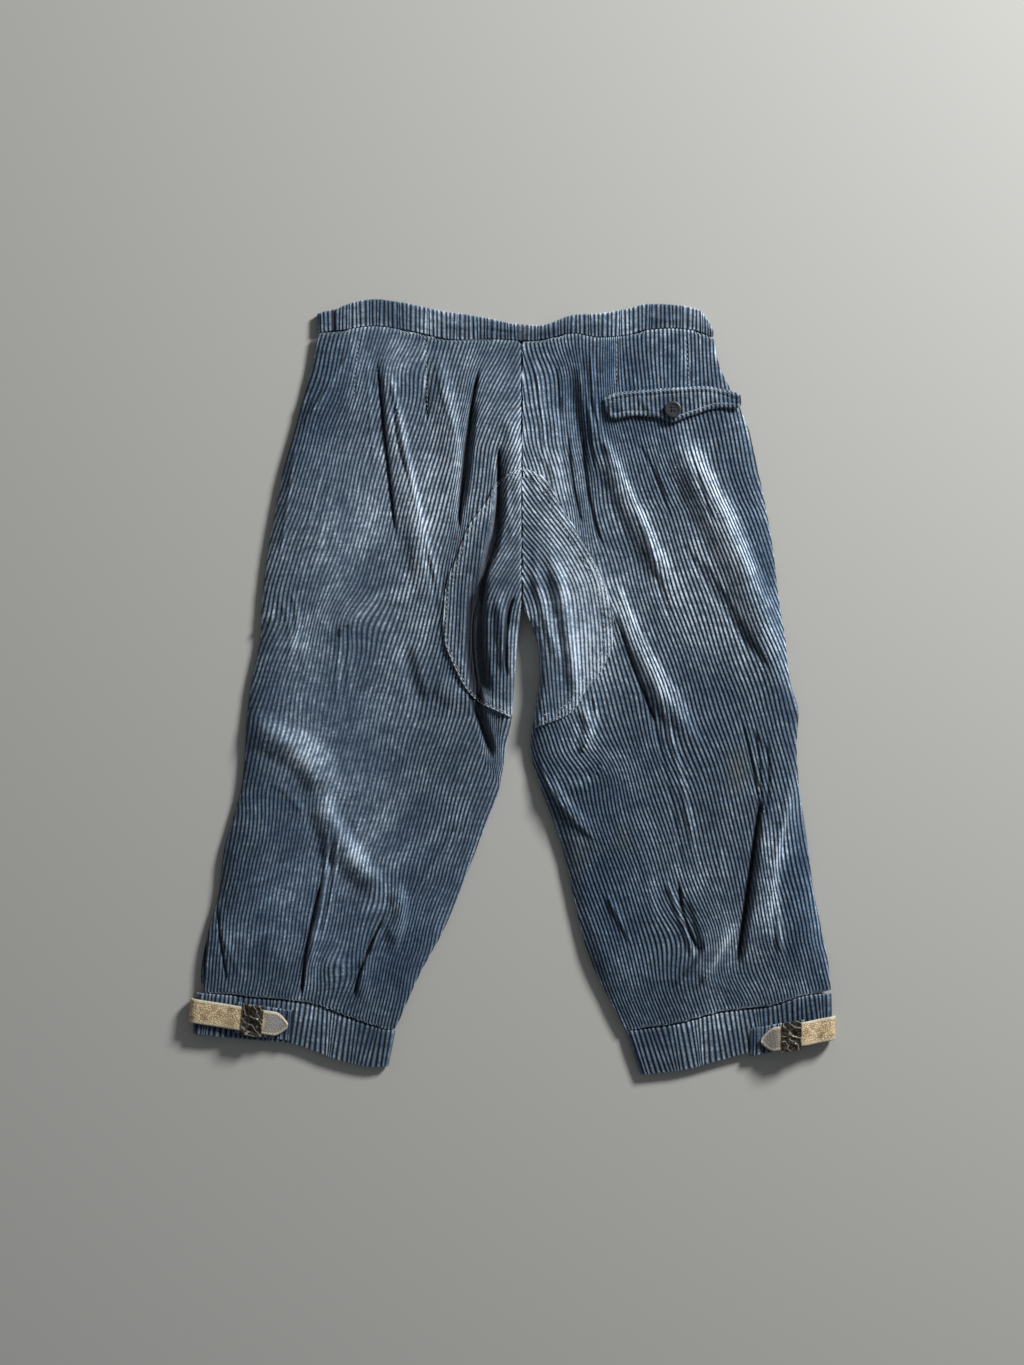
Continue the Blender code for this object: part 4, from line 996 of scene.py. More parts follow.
def blend(tree, share, first, second, kind="MIX"):
    """A mix of two colours."""
    made = node(tree, "ShaderNodeMix", {"Factor": share}, data_type="RGBA", blend_type=kind)
    for socket, value in ((6, first), (7, second)):
        feed(tree, made, {socket: value if isinstance(value, bpy.types.NodeSocket) else (*value, 1.0)})
    return made.outputs[2]


def noise(tree, where, scale, detail, roughness=0.5):
    """A soft noise from 0 to 1."""
    inputs = {"Vector": where, "Scale": scale, "Detail": detail, "Roughness": roughness}
    return node(tree, "ShaderNodeTexNoise", inputs).outputs[0]


def between(tree, value, low, high, to_low=0.0, to_high=1.0, curve="LINEAR"):
    """Goes from one value to another while its input goes from low to high."""
    inputs = {"Value": value, "From Min": low, "From Max": high, "To Min": to_low, "To Max": to_high}
    return node(tree, "ShaderNodeMapRange", inputs, interpolation_type=curve).outputs[0]


def new_finish(name):
    """A new material, its node tree and its shader."""
    finish = bpy.data.materials.new(name)
    finish.use_nodes = True
    return finish, finish.node_tree, finish.node_tree.nodes["Principled BSDF"]


def new_group(name, inputs, outputs):
    """An empty node group with named sockets: rows of name and kind."""
    tree = bpy.data.node_groups.new(name, "ShaderNodeTree")
    for direction, rows in (("INPUT", inputs), ("OUTPUT", outputs)):
        for label, kind in rows:
            tree.interface.new_socket(label, in_out=direction, socket_type=f"NodeSocket{kind}")
    return tree, tree.nodes.new("NodeGroupInput").outputs, tree.nodes.new("NodeGroupOutput")


wale_inputs = [("Map", "Vector")] + [(label, "Float") for label in ("Pale", "Shade", "Blue", "Stain", "Flat")]
wale_outputs = (("Color", "Color"), ("Nap", "Float"), ("Roughness", "Float"))
tree, given, put = new_group("wale colour", wale_inputs, wale_outputs)
split = node(tree, "ShaderNodeSeparateXYZ", {0: given["Map"]})
across, along = split.outputs[0], split.outputs[1]
# The grooves between the wales and their flanks are darker than the worn tops: partly the cloth's unfaded
# colour, partly painted shade
off_top = maths(tree, "ABSOLUTE", minus(tree, maths(tree, "FRACT", across), 0.5))
groove_shade = between(tree, off_top, 0.16, 0.42, curve="SMOOTHSTEP")
# Noises stretched along the wales, and how much each adds to how worn the tops look
Grain = namedtuple("Grain", "per_wale per_mm detail start weight")
STREAKS = Grain(0.9, 0.11, 3.0, 3.1, 0.75)
FLECKS = Grain(2.6, 0.75, 2.0, 8.7, 0.8)
CLOUDS = Grain(0.13, 0.04, 3.0, 5.5, 1.0)
RUBS = Grain(0.3, 0.42, 3.0, 1.7, 0.7)
grains = {}
worn = 0.0
for row in (STREAKS, FLECKS, CLOUDS, RUBS):
    stretched = {0: times(tree, across, row.per_wale), 1: times(tree, along, row.per_mm), 2: row.start}
    grains[row] = noise(tree, node(tree, "ShaderNodeCombineXYZ", stretched).outputs[0], 1.0, row.detail, 0.6)
    worn = plus(tree, worn, times(tree, minus(tree, grains[row], 0.5), row.weight))
worn = plus(tree, worn, times(tree, given["Pale"], 0.62))
worn = minus(tree, worn, times(tree, off_top, 1.1))
worn = plus(tree, worn, 0.40, clamp=True)
tops = node(tree, "ShaderNodeValToRGB", {0: worn})
ramp = tops.color_ramp
# The tops of the wales, from unworn to worn through
RAMP = (
    (0.0, (0.028, 0.047, 0.078)),
    (0.3, (0.065, 0.093, 0.128)),
    (0.6, (0.142, 0.180, 0.223)),
    (0.82, (0.285, 0.335, 0.386)),
    (1.0, (0.52, 0.57, 0.625)),
)
GROOVE_SHADE_UNWORN = (0.004, 0.005, 0.008)
GROOVE_SHADE_WORN = (0.03, 0.035, 0.042)
INDIGO_TINT = (0.77, 0.96, 1.14)
STAIN_BROWN = (0.075, 0.07, 0.035)
PAINTED_SHADE_BLACK = (0.006, 0.007, 0.01)
while len(ramp.elements) < len(RAMP):
    ramp.elements.new(0.5)
for element, (where, colour) in zip(ramp.elements, RAMP):
    element.position = where
    element.color = (*colour, 1.0)
# Painted shade in the grooves, from near black where unworn to dark grey where worn
groove_shade_colour = blend(tree, given["Pale"], GROOVE_SHADE_UNWORN, GROOVE_SHADE_WORN)
groove_shade = times(tree, groove_shade, minus(tree, 0.97, times(tree, given["Flat"], 0.72)))
mixed = blend(tree, groove_shade, tops.outputs[0], groove_shade_colour)
mixed = blend(tree, given["Blue"], mixed, INDIGO_TINT, "MULTIPLY")
mixed = blend(tree, times(tree, given["Stain"], 0.5), mixed, STAIN_BROWN)
# Painted shade: the shade channel darkens the colour towards black in troughs, creases, band ends and the
# buttonhole slit
mixed = blend(tree, times(tree, given["Shade"], 0.93), mixed, PAINTED_SHADE_BLACK)
rough = plus(tree, times(tree, worn, -0.12), 0.95)
feed(tree, put, {"Color": mixed, "Nap": grains[FLECKS], "Roughness": rough})
wale_colour = tree

# The cloth of the garment reads its wale map, its wear and its painted shade
cloth_finish, tree, shader = new_finish("faded corduroy")
wear_and_shade = node(tree, "ShaderNodeAttribute", attribute_name="wear_and_shade")
flat = node(tree, "ShaderNodeAttribute", attribute_name="flat")
parts = node(tree, "ShaderNodeSeparateColor", {0: wear_and_shade.outputs["Color"]})
cloth = tree.nodes.new("ShaderNodeGroup")
cloth.node_tree = wale_colour
feed(tree, cloth, {"Map": node(tree, "ShaderNodeUVMap", uv_map="wales").outputs[0]})
feed(tree, cloth, {"Pale": parts.outputs[0], "Shade": parts.outputs[1], "Blue": parts.outputs[2]})
feed(tree, cloth, {"Stain": wear_and_shade.outputs["Alpha"], "Flat": flat.outputs["Fac"]})
bump = node(tree, "ShaderNodeBump", {"Height": cloth.outputs["Nap"], "Strength": 0.5, "Distance": 0.0004})
feed(tree, shader, {"Sheen Weight": 0.25, "Sheen Roughness": 0.5, "Sheen Tint": (0.75, 0.82, 0.95, 1.0)})
feed(tree, shader, {"Base Color": cloth.outputs["Color"], "Roughness": cloth.outputs["Roughness"]})
feed(tree, shader, {"Specular IOR Level": 0.15, "Normal": bump.outputs[0]})

left_leg = Leg(LEFT_LEG, LEFT_WAIST, LEFT_CUFF)
right_leg = Leg(RIGHT_LEG, RIGHT_WAIST, RIGHT_CUFF)
left_phase = leg_phase(LEFT_LEAN, LEFT_GATHERS, [(y, -x) for y, x in LEG_MIDDLE])
right_phase = leg_phase(RIGHT_LEAN, RIGHT_GATHERS, LEG_MIDDLE)
BACK_STEP = 2.6
SEAM_CATCH = 0.4
SEAM_CLOSED_Y = 60
SEAM_HALF_OPEN = 0.03


def close_seam(leg, x, y):
    """The edges of the left and right cloth nearly touch along the centre seam."""
    at_seam = (np.abs(x - CENTRE_SEAM_X) < SEAM_CATCH) & (y > SEAM_CLOSED_Y)
    return np.where(at_seam, CENTRE_SEAM_X + SEAM_HALF_OPEN * leg.hand, x)


def swollen_folds(x, y):
    """The folds that take up cloth."""
    return FOLD_SWELL * folds_height(x, y, FOLDS)


for side, leg, phase in (("left", left_leg, left_phase), ("right", right_leg, right_phase)):
    name = f"back_{side}"
    x, y, used, wide, faces = wale_cloth(phase, [leg.outline], BACK_STEP, swollen_folds)
    x = close_seam(leg, x, y)
    top, stretch = back_top(leg, x, y)
    ends = np.minimum(off_line(x, y, leg.waist), off_line(x, y, leg.cuff))
    centre = off_line(x, y, leg.inner)
    sides = np.minimum(off_line(x, y, leg.side), centre)
    roll = SEAM_ROLL * (1 - smooth(ends / SEAM_ROLL_REACH))
    roll = roll + SIDE_ROLL * (smooth(centre / SIDE_ROLL_REACH) - smooth(sides / SIDE_ROLL_REACH))
    under = top - WALL * stretch
    wear_and_shade = worn_and_shaded(x, y, np.minimum(ends, sides))
    top = top - wale_relief(used, wide, wear_and_shade[:, 4]) - roll
    back = cloth_mesh(f"{name}_panel", x, y, top, under, used, faces, wear_and_shade)
    finish_piece(back, name, cloth_finish)

# Front panels: the same corduroy, straight grain, lying flat under the backs. Only their outer face,
# turned to the table, shows its wales. Their edges rise into the side seams and inseams.
FRONT_STEP = 7.0
FRONT_EDGE = 4
FRONT_RISE = 0.9
FRONT_RISE_REACH = 2.2
FRONT_INNER_RISE = 0.4


def upright_wales(x, y):
    """Straight wales, the same in all rows."""
    return (x + 0 * y) / WALE


for side, leg in (("left", left_leg), ("right", right_leg)):
    name = f"front_{side}"
    x, y, used, wide, faces = wale_cloth(upright_wales, [leg.outline], FRONT_STEP)
    edge = np.abs(inside_by(x, y, leg.outline))
    face = wale_relief(used, wide) * smooth(edge / FRONT_EDGE)
    face = face + FRONT_RISE * (1 - smooth(edge / FRONT_RISE_REACH))
    inner_face = WALL + FRONT_INNER_RISE * (1 - smooth(edge / FRONT_EDGE))
    wear_and_shade = worn_and_shaded(x, y)
    wear_and_shade[..., 1] = 0
    front = cloth_mesh(f"{name}_panel", x, y, inner_face, face, used, faces, wear_and_shade)
    finish_piece(front, name, cloth_finish)

# Seat reinforcement: two pieces of the same corduroy, cut across the bias and sewn on top of the backs
# with rows of pale thread. They follow every fold of the cloth below.
PATCH_WALL = 1.4
HEM_WIDE = 9  # a patch is thicker here, where its edge is turned in
HEM_STEP = 3
HEM_RISE = 0.45
STITCH_SINK = 0.7
RIPPLE_HIGH = 0.5  # between the stitches the edge puckers
PATCH_ROLL_REACH = 1.3
PATCH_SEAM_REACH = 1.4
HEM_PALER = 0.38
STITCH_ROW_SHADE = 0.35
MARK_FLATTER = 0.5  # a row of stitches presses the wales down by this share
PATCH_STEP = 1.7
PATCH_WALE = 2.45  # narrower, as this cloth lies at a slant
# Outlines from the centre seam down, outwards and back
LEFT_PATCH = [
    (9, 149.5), (6.8, 148.6), (-10.2, 139.4), (-17.0, 126.5), (-29.2, 109.7), (-38.3, 86.4), (-44.5, 70.7),
    (-47.0, 45.8), (-45.2, 27.9), (-37.6, 9.7), (-30.6, -2.7), (-22.4, -10.9), (-11.2, -16.3), (9, -25.5),
]
RIGHT_PATCH = [
    (4, 149.5), (6.8, 148.6), (17.0, 145.0), (26.2, 138.0), (34.6, 121.0), (50.3, 95.9), (59.6, 79.2),
    (66.5, 57.1), (69.0, 42.2), (67.2, 23.8), (58.2, 7.0), (49.6, -4.1), (42.8, -15.0), (31.8, -22.2),
    (4, -31.5),
]
HOLLOW_LINE = ((165, -10), (117, -10), (90, -16), (73, -20), (35, -24), (-12, -18), (-51, -11))
HOLLOW_WIDE = 9
HOLLOW_TAKES = 50
# The lean of the patches' wales: y, millimetres to the right for each down
LEFT_OF_HOLLOW = ((245, -0.1), (-60, -0.08))
RIGHT_OF_HOLLOW = ((245, -0.46), (120, -0.5), (75, -0.6), (45, -0.05), (-60, 0.02))
RIGHT_PATCH_LEAN = ((245, 0.5), (120, 0.52), (92, 0.6), (62, 0.42), (42, 0.1), (-60, 0.06))
RIGHT_PATCH_TURN = 0.45


def left_patch_phase(x, y):
    """The wales lean more on the right of the hollow that swallows cloth."""
    right_of = smooth((x - read_line(HOLLOW_LINE, y)) / HOLLOW_WIDE + 0.5)
    steep = sum_line(RIGHT_OF_HOLLOW, y)
    plain = sum_line(LEFT_OF_HOLLOW, y)
    return (x + plain + right_of * (steep - plain + HOLLOW_TAKES) + 0.6 * wander(x, y)) / PATCH_WALE


def right_patch_phase(x, y):
    """The wales turn from a slant above to upright below."""
    lean = sum_line(RIGHT_PATCH_LEAN, y - RIGHT_PATCH_TURN * (x - BULK_X))
    return (x + lean + 0.8 * wander(x, y)) / PATCH_WALE


def soft_line(points, steps=7):
    """A smooth open curve through points."""
    rows = [(i, *point) for i, point in enumerate(points)]
    return np.array([read_rows(rows, i / steps) for i in range((len(points) - 1) * steps + 1)])


STITCH_PITCH = 3.1


def beads(off, run, wide=0.9, pitch=STITCH_PITCH):
    """A line of stitches pulls the cloth in, most at each stitch: 0 to 1."""
    return np.exp(-((off / wide) ** 2)) * (0.62 + 0.38 * np.cos(2 * math.pi * run / pitch))


def run_length(line):
    """The distance along a line at each of its points."""
    return np.concatenate([[0], np.cumsum(np.linalg.norm(np.diff(line, axis=0), axis=1))])


def patch_height(leg, line, rows, x, y):
    """The top of a patch and the mark of its rows of stitches."""
    off, share = to_line(x, y, line)
    edge = np.abs(off)
    run = share * run_length(line)[-1]
    mark = sum(beads(edge - inset, run + 1.3 * i) for i, inset in enumerate(rows))
    hem = smooth((HEM_WIDE - edge) / HEM_STEP)
    off_rows = (edge - np.mean(rows)) / (1.2 + np.mean(rows) / 2)
    ripple = np.cos(2 * math.pi * run / STITCH_PITCH) * np.exp(-(off_rows**2))
    top, stretch = back_top(leg, x, y)
    top = top + SEAM_GAP + PATCH_WALL + HEM_RISE * hem - STITCH_SINK * mark + RIPPLE_HIGH * ripple
    return top, stretch, edge, mark - 0.6 * ripple, hem


THREAD_BLUE = (0.10, 0.13, 0.17)
THREAD_PALE = (0.42, 0.45, 0.46)
pale_thread, tree, shader = new_finish("pale thread")
thread_where = node(tree, "ShaderNodeTexCoord").outputs["Object"]
twist = noise(tree, thread_where, 900.0, 2.0)
thread_colour = blend(tree, twist, THREAD_BLUE, THREAD_PALE)
feed(tree, shader, {"Base Color": thread_colour, "Roughness": 0.8})
Run = namedtuple("Run", "line stitch gap radius")
THREAD_SIDES = 5


def along_line(line, run, where):
    """The place on a line at a distance along it."""
    return np.array([np.interp(where, run, line[:, axis]) for axis in range(3)])


def sew(name, runs, thread=pale_thread):
    """Stitches: short closed threads along lines of points."""
    points, faces = [], []
    for line, stitch, gap, radius in runs:
        run = run_length(line)
        where = gap
        while where + stitch < run[-1]:
            start, end = along_line(line, run, where), along_line(line, run, where + stitch)
            way = (end - start) / np.linalg.norm(end - start)
            side = np.cross(way, UP)
            side /= np.linalg.norm(side)
            up = np.cross(side, way)
            first = len(points)
            points.append(start - up * radius)
            for share in (0.22, 0.78):
                for k in range(THREAD_SIDES):
                    angle = 2 * math.pi * k / THREAD_SIDES
                    around = side * math.cos(angle) + up * math.sin(angle)
                    points.append(start + (end - start) * share + around * radius)
            points.append(end - up * radius)
            for k in range(THREAD_SIDES):
                near = first + 1 + k
                next_near = first + 1 + (k + 1) % THREAD_SIDES
                far, next_far = near + THREAD_SIDES, next_near + THREAD_SIDES
                faces.append((first, next_near, near))
                faces.append((near, next_near, next_far, far))
                faces.append((far, next_far, first + 1 + 2 * THREAD_SIDES))
            where += stitch + gap
    mesh = bpy.data.meshes.new(name)
    mesh.from_pydata((np.array(points) * MM).tolist(), [], faces)
    item = link_piece(name, mesh, math.radians(80))
    item.data.materials.append(thread)
    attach(item, "root")


def inset_line(line, inset, side):
    """A line beside another one, on the side given as 1 or -1."""
    way = np.gradient(line, axis=0)
    way /= np.linalg.norm(way, axis=1)[:, None]
    return line + np.stack([-way[:, 1], way[:, 0]], axis=1) * inset * side


for side, leg, phase, outline, rows in (
    ("left", left_leg, left_patch_phase, LEFT_PATCH, (2.2,)),
    ("right", right_leg, right_patch_phase, RIGHT_PATCH, (2.0, 6.6)),
):
    name = f"seat_patch_{side}"
    line = soft_line(outline)
    x, y, used, wide, faces = wale_cloth(phase, [line, leg.outline], PATCH_STEP)
    x = close_seam(leg, x, y)
    top, stretch, edge, mark, hem = patch_height(leg, line, rows, x, y)
    seam = off_line(x, y, leg.inner)
    under = top - (PATCH_WALL + SEAM_GAP) * stretch
    wear_and_shade = worn_and_shaded(x, y, np.minimum(edge, seam))
    # Painted shade along the sunken rows of stitches; the turned-in hem is worn paler
    wear_and_shade[..., 0] += HEM_PALER * hem - STITCH_ROW_SHADE * mark
    top = top - wale_relief(used, wide, wear_and_shade[:, 4]) * (1 - MARK_FLATTER * np.clip(mark, 0, 1))
    top = top - (1 - smooth(edge / PATCH_ROLL_REACH)) - SEAM_GAP * (1 - smooth(seam / PATCH_SEAM_REACH))
    patch = cloth_mesh(f"{name}_cloth", x, y, top, under, used, faces, wear_and_shade)
    finish_piece(patch, name, cloth_finish)
    turn = 1 if side == "left" else -1
    # Inset of the row, its first and last point, its height over the cloth, stitch, gap and radius
    sewn = [(inset, 4, -4, 0.05, 2.3, 0.9, 0.3) for inset in rows]
    if side == "left":
        sewn.append((0.9, -38, -3, -0.1, 3.0, 0.5, 0.55))  # a thicker thread along the lower edge
    runs = []
    for inset, first, last, above, stitch, gap, radius in sewn:
        row = inset_line(line, inset, turn)[first:last]
        high = patch_height(leg, line, rows, row[:, 0], row[:, 1])[0] + above
        runs.append(Run(np.column_stack([row, high]), stitch, gap, radius))
    sew(f"{name}_stitches", runs)

# Hip pocket: a shaped flap of corduroy with its wales upright, turned and stitched all round, held by a
# horn button through a slit above its point. It stands a little off the hip at its free edge.
FLAP_WALL = 1.8
FLAP_STEP = 0.5
FLAP_OUTLINE = [
    (61.2, 194.5), (68.6, 198.6), (90.4, 201.2), (126.9, 203.6), (138.7, 202.6), (152.3, 199.2),
    (155.7, 195.2), (153.0, 188.7), (138.7, 188.7), (126.9, 185.1), (118.3, 182.2), (108.5, 178.6),
    (100.0, 181.6), (83.0, 183.3), (66.9, 181.8), (61.2, 194.5),
]
FLAP_HINGE_Y = 198.0
FLAP_TILT = 0.07
FLAP_KEEPS_IN = 12  # past the leg's edge the flap stays as high as this far inside it
FLAP_TOP_LENGTH = 96
FLAP_HEM_LENGTH = 92
FLAP_TOP_ROWS = (1.6, 4.8)
FLAP_HEM_ROW = 3.0
FLAP_FOLDS = [
    Fold(84, 197, 91, 190, 98, 184, 4, 3, 1.1),
    Fold(62, 190, 72, 189, 80, 183, 4, 4, 0.8),
    Fold(118, 199, 122, 193, 124, 186, 3, 3, 0.5),
    Fold(134, 200, 138, 195, 141, 190, 3, 3, 0.6),
]
BUTTON_X = 108.7
BUTTON_Y = 187.5
BUTTON_REACH = 7
SLIT_Y = 195.2
SLIT_HALF_WIDE = 0.55
SLIT_HALF_LONG = 2.6
SLIT_DEEP = 0.8
FLAP_HEM_WIDE = 2.6
FLAP_HEM_STEP = 1.2
FLAP_HEM_RISE = 0.45
FLAP_STITCH_SINK = 0.55
FLAP_PALE = 0.25
FLAP_BLUE = 0.3
flap_line = soft_line(FLAP_OUTLINE, 5)
flap_top_line = soft_line(FLAP_OUTLINE[:6], 5)
flap_hem_line = soft_line(FLAP_OUTLINE[7:15], 5)
side_x, side_y = right_leg.side[::-1].T


def flap_height(x, y):
    """The top of the flap, how far each place is inside it, and the marks of its stitches and its slit."""
    held_x = np.minimum(x, np.interp(y, side_y, side_x) - FLAP_KEEPS_IN)
    tilt = FLAP_TILT * np.maximum(FLAP_HINGE_Y - y, 0)
    high = back_top(right_leg, held_x, y)[0] + SEAM_GAP + tilt + FLAP_WALL
    off, share = to_line(x, y, flap_top_line)
    run = share * FLAP_TOP_LENGTH
    mark = sum(beads(np.abs(off) - inset, run + 1.2 * i) for i, inset in enumerate(FLAP_TOP_ROWS))
    off, share = to_line(x, y, flap_hem_line)
    mark = mark + 1.3 * beads(np.abs(off) - FLAP_HEM_ROW, share * FLAP_HEM_LENGTH, 0.8, 2.9)
    edge = inside_by(x, y, flap_line)
    hem = smooth(edge / 0.8) * (1 - smooth((edge - FLAP_HEM_WIDE) / FLAP_HEM_STEP))
    near_button = np.exp(-(((x - BUTTON_X) / BUTTON_REACH) ** 2) - ((y - BUTTON_Y) / BUTTON_REACH) ** 2)
    slit = np.exp(-(((x - BUTTON_X) / SLIT_HALF_WIDE) ** 2) - ((y - SLIT_Y) / SLIT_HALF_LONG) ** 4)
    high = high + folds_height(x, y, FLAP_FOLDS) * (1 - near_button)
    high = high + FLAP_HEM_RISE * hem - FLAP_STITCH_SINK * mark - SLIT_DEEP * slit
    return high, edge, mark, slit


def flap_phase(x, y):
    """Wales almost upright."""
    return (x + 0.07 * y) / WALE


x, y, used, wide, faces = wale_cloth(flap_phase, [flap_line], FLAP_STEP)
top, edge, mark, slit = flap_height(x, y)
under = top - FLAP_WALL + 0.2
top = top - wale_relief(used, wide) * (1 - MARK_FLATTER * np.clip(mark, 0, 1))
top = top - (1 - smooth(edge / FLAP_HEM_STEP))
wear_and_shade = worn_and_shaded(x, y, edge)
wear_and_shade[..., 0] = FLAP_PALE + 0.35 * np.clip(mark, 0, 1) + 0.4 * np.exp(-((edge / 1.4) ** 2))
# Painted shade inside the buttonhole slit
wear_and_shade[..., 1] = np.clip(slit * 1.2, 0, 1)
wear_and_shade[..., 2] = FLAP_BLUE
flap = cloth_mesh("pocket_flap_cloth", x, y, top, under, used, faces, wear_and_shade)
finish_piece(flap, "pocket_flap", cloth_finish)
runs = []
for inset, line in (*((inset, flap_top_line) for inset in FLAP_TOP_ROWS), (FLAP_HEM_ROW, flap_hem_line)):
    row = inset_line(line, inset, -1)[1:-1]
    high = flap_height(row[:, 0], row[:, 1])[0]
    runs.append(Run(np.column_stack([row, high + 0.05]), 2.0, 0.9, 0.26))
sew("pocket_flap_stitches", runs)

HORN_BLACK = (0.007, 0.008, 0.011)
HORN_GREY = (0.04, 0.042, 0.05)
horn, tree, shader = new_finish("dark horn")
horn_clouds = noise(tree, node(tree, "ShaderNodeTexCoord").outputs["Object"], 260.0, 4.0, 0.65)
horn_colour = blend(tree, horn_clouds, HORN_BLACK, HORN_GREY)
feed(tree, shader, {"Base Color": horn_colour, "Roughness": between(tree, horn_clouds, 0, 1, 0.28, 0.55)})
finish_node("flap_button", horn)
BUTTON_HIGH = 16.2
CROSS_REACH = 1.75  # from the middle of the button to its holes
cross = []
for turn in (45, 135):
    way = np.array((math.cos(math.radians(turn)), math.sin(math.radians(turn)), 0)) * CROSS_REACH
    middle = np.array((BUTTON_X, BUTTON_Y, BUTTON_HIGH))
    cross.append(Run(np.array((middle - way, middle + way)), 3.3, 0.08, 0.3))
THREAD_BLACK = (0.022, 0.025, 0.03)
dark_thread, tree, shader = new_finish("dark thread")
feed(tree, shader, {"Base Color": (*THREAD_BLACK, 1.0), "Roughness": 0.8})
sew("button_thread", cross, dark_thread)

# Waistband: straight strips of the corduroy with upright wales, folded double and sewn on. The front one
# comes round the left side on to the back; the back ones meet at the centre seam.
FRONT_WRAP = 12.0
WAIST_WALE = 2.65
# Share of the waist from the side to the centre, width of the band
LEFT_BAND = (
    (0, 11.0), (0.03, 14.4), (0.1, 15.2), (0.13, 17.0), (0.2, 18.6), (0.5, 18.8), (0.68, 18.8), (0.78, 16.3),
    (0.92, 12.4), (1, 11.4),
)
RIGHT_BAND = (
    (0, 5.0), (0.03, 10.5), (0.07, 14.8), (0.2, 16.4), (0.42, 18.3), (0.6, 16.6), (0.77, 12.2), (0.88, 10.2),
    (1, 11.4),
)
LEFT_WAIST_WIDE = CENTRE_SEAM_X - LEFT_LEG[0].outer_x
TURN_RADIUS = BAND_WALL / 2 + SEAM_GAP
BAND_FOLDS = [
    Fold(-52, 250, -40, 246, -26, 245, 3, 3, 0.9),
    Fold(-22, 243, -8, 241, 5, 240, 2, 2, -0.9),
    Fold(90, 252, 104, 249, 118, 250, 3, 3, 0.9),
    Fold(40, 244, 52, 246, 66, 250, 3, 3, 0.6),
    Fold(-120, 252, -100, 250, -80, 251, 3, 3, 0.5),
]


def profile():
    """Points round a folded band: share of its width, reach past its rounded edge, side of its wall."""
    turn = np.radians((-55, -20, 20, 55))
    points = [(share, 0.0, -1.0) for share in np.linspace(0, 1, 9)]
    points += [(1.0, math.cos(angle), math.sin(angle)) for angle in turn]
    points += [(share, 0.0, 1.0) for share in np.linspace(1, 0, 13)]
    points += [(0.0, -math.cos(angle), math.sin(angle)) for angle in turn[::-1]]
    return np.array(points).T


def tube_loops(lows, highs, ups, wall):
    """Loops of points round a flattened tube, with what each needs to be moved further."""
    wide = np.linalg.norm(highs - lows, axis=2, keepdims=True)
    ways = (highs - lows) / wide
    share, past, side = (row[None, :, None] for row in profile())
    radius = wall / 2
    across = radius + share * (wide - wall) + radius * past
    return lows + ways * across + ups * radius * side, wide, share, side, ways * past + ups * side, across


def tube_mesh(name, loops, closed=False):
    """A mesh of loops of points, with its two ends filled unless it runs round."""
    count, size = loops.shape[:2]
    index = np.arange(count * size).reshape(count, size)
    a, b = index, np.roll(index, -1, axis=0)
    if not closed:
        a, b = a[:-1], b[:-1]
    faces = np.stack([a, np.roll(a, -1, axis=1), np.roll(b, -1, axis=1), b], axis=-1).reshape(-1, 4).tolist()
    if not closed:
        faces += [index[0].tolist(), index[-1].tolist()]
    mesh = bpy.data.meshes.new(name)
    mesh.from_pydata((loops.reshape(-1, 3) * MM).tolist(), [], faces)
    return mesh


# A band's rounded-down end is darkened with painted shade
END_REACH = 0.9  # a band's end is rounded and dark
BAND_MAP_Y = 300  # the bands' part of the wale map lies past the panels'
BAND_WALE_SHARE = 0.9
BAND_WAVE_SHARE = 0.25
BAND_EDGE_REACH = 1.8


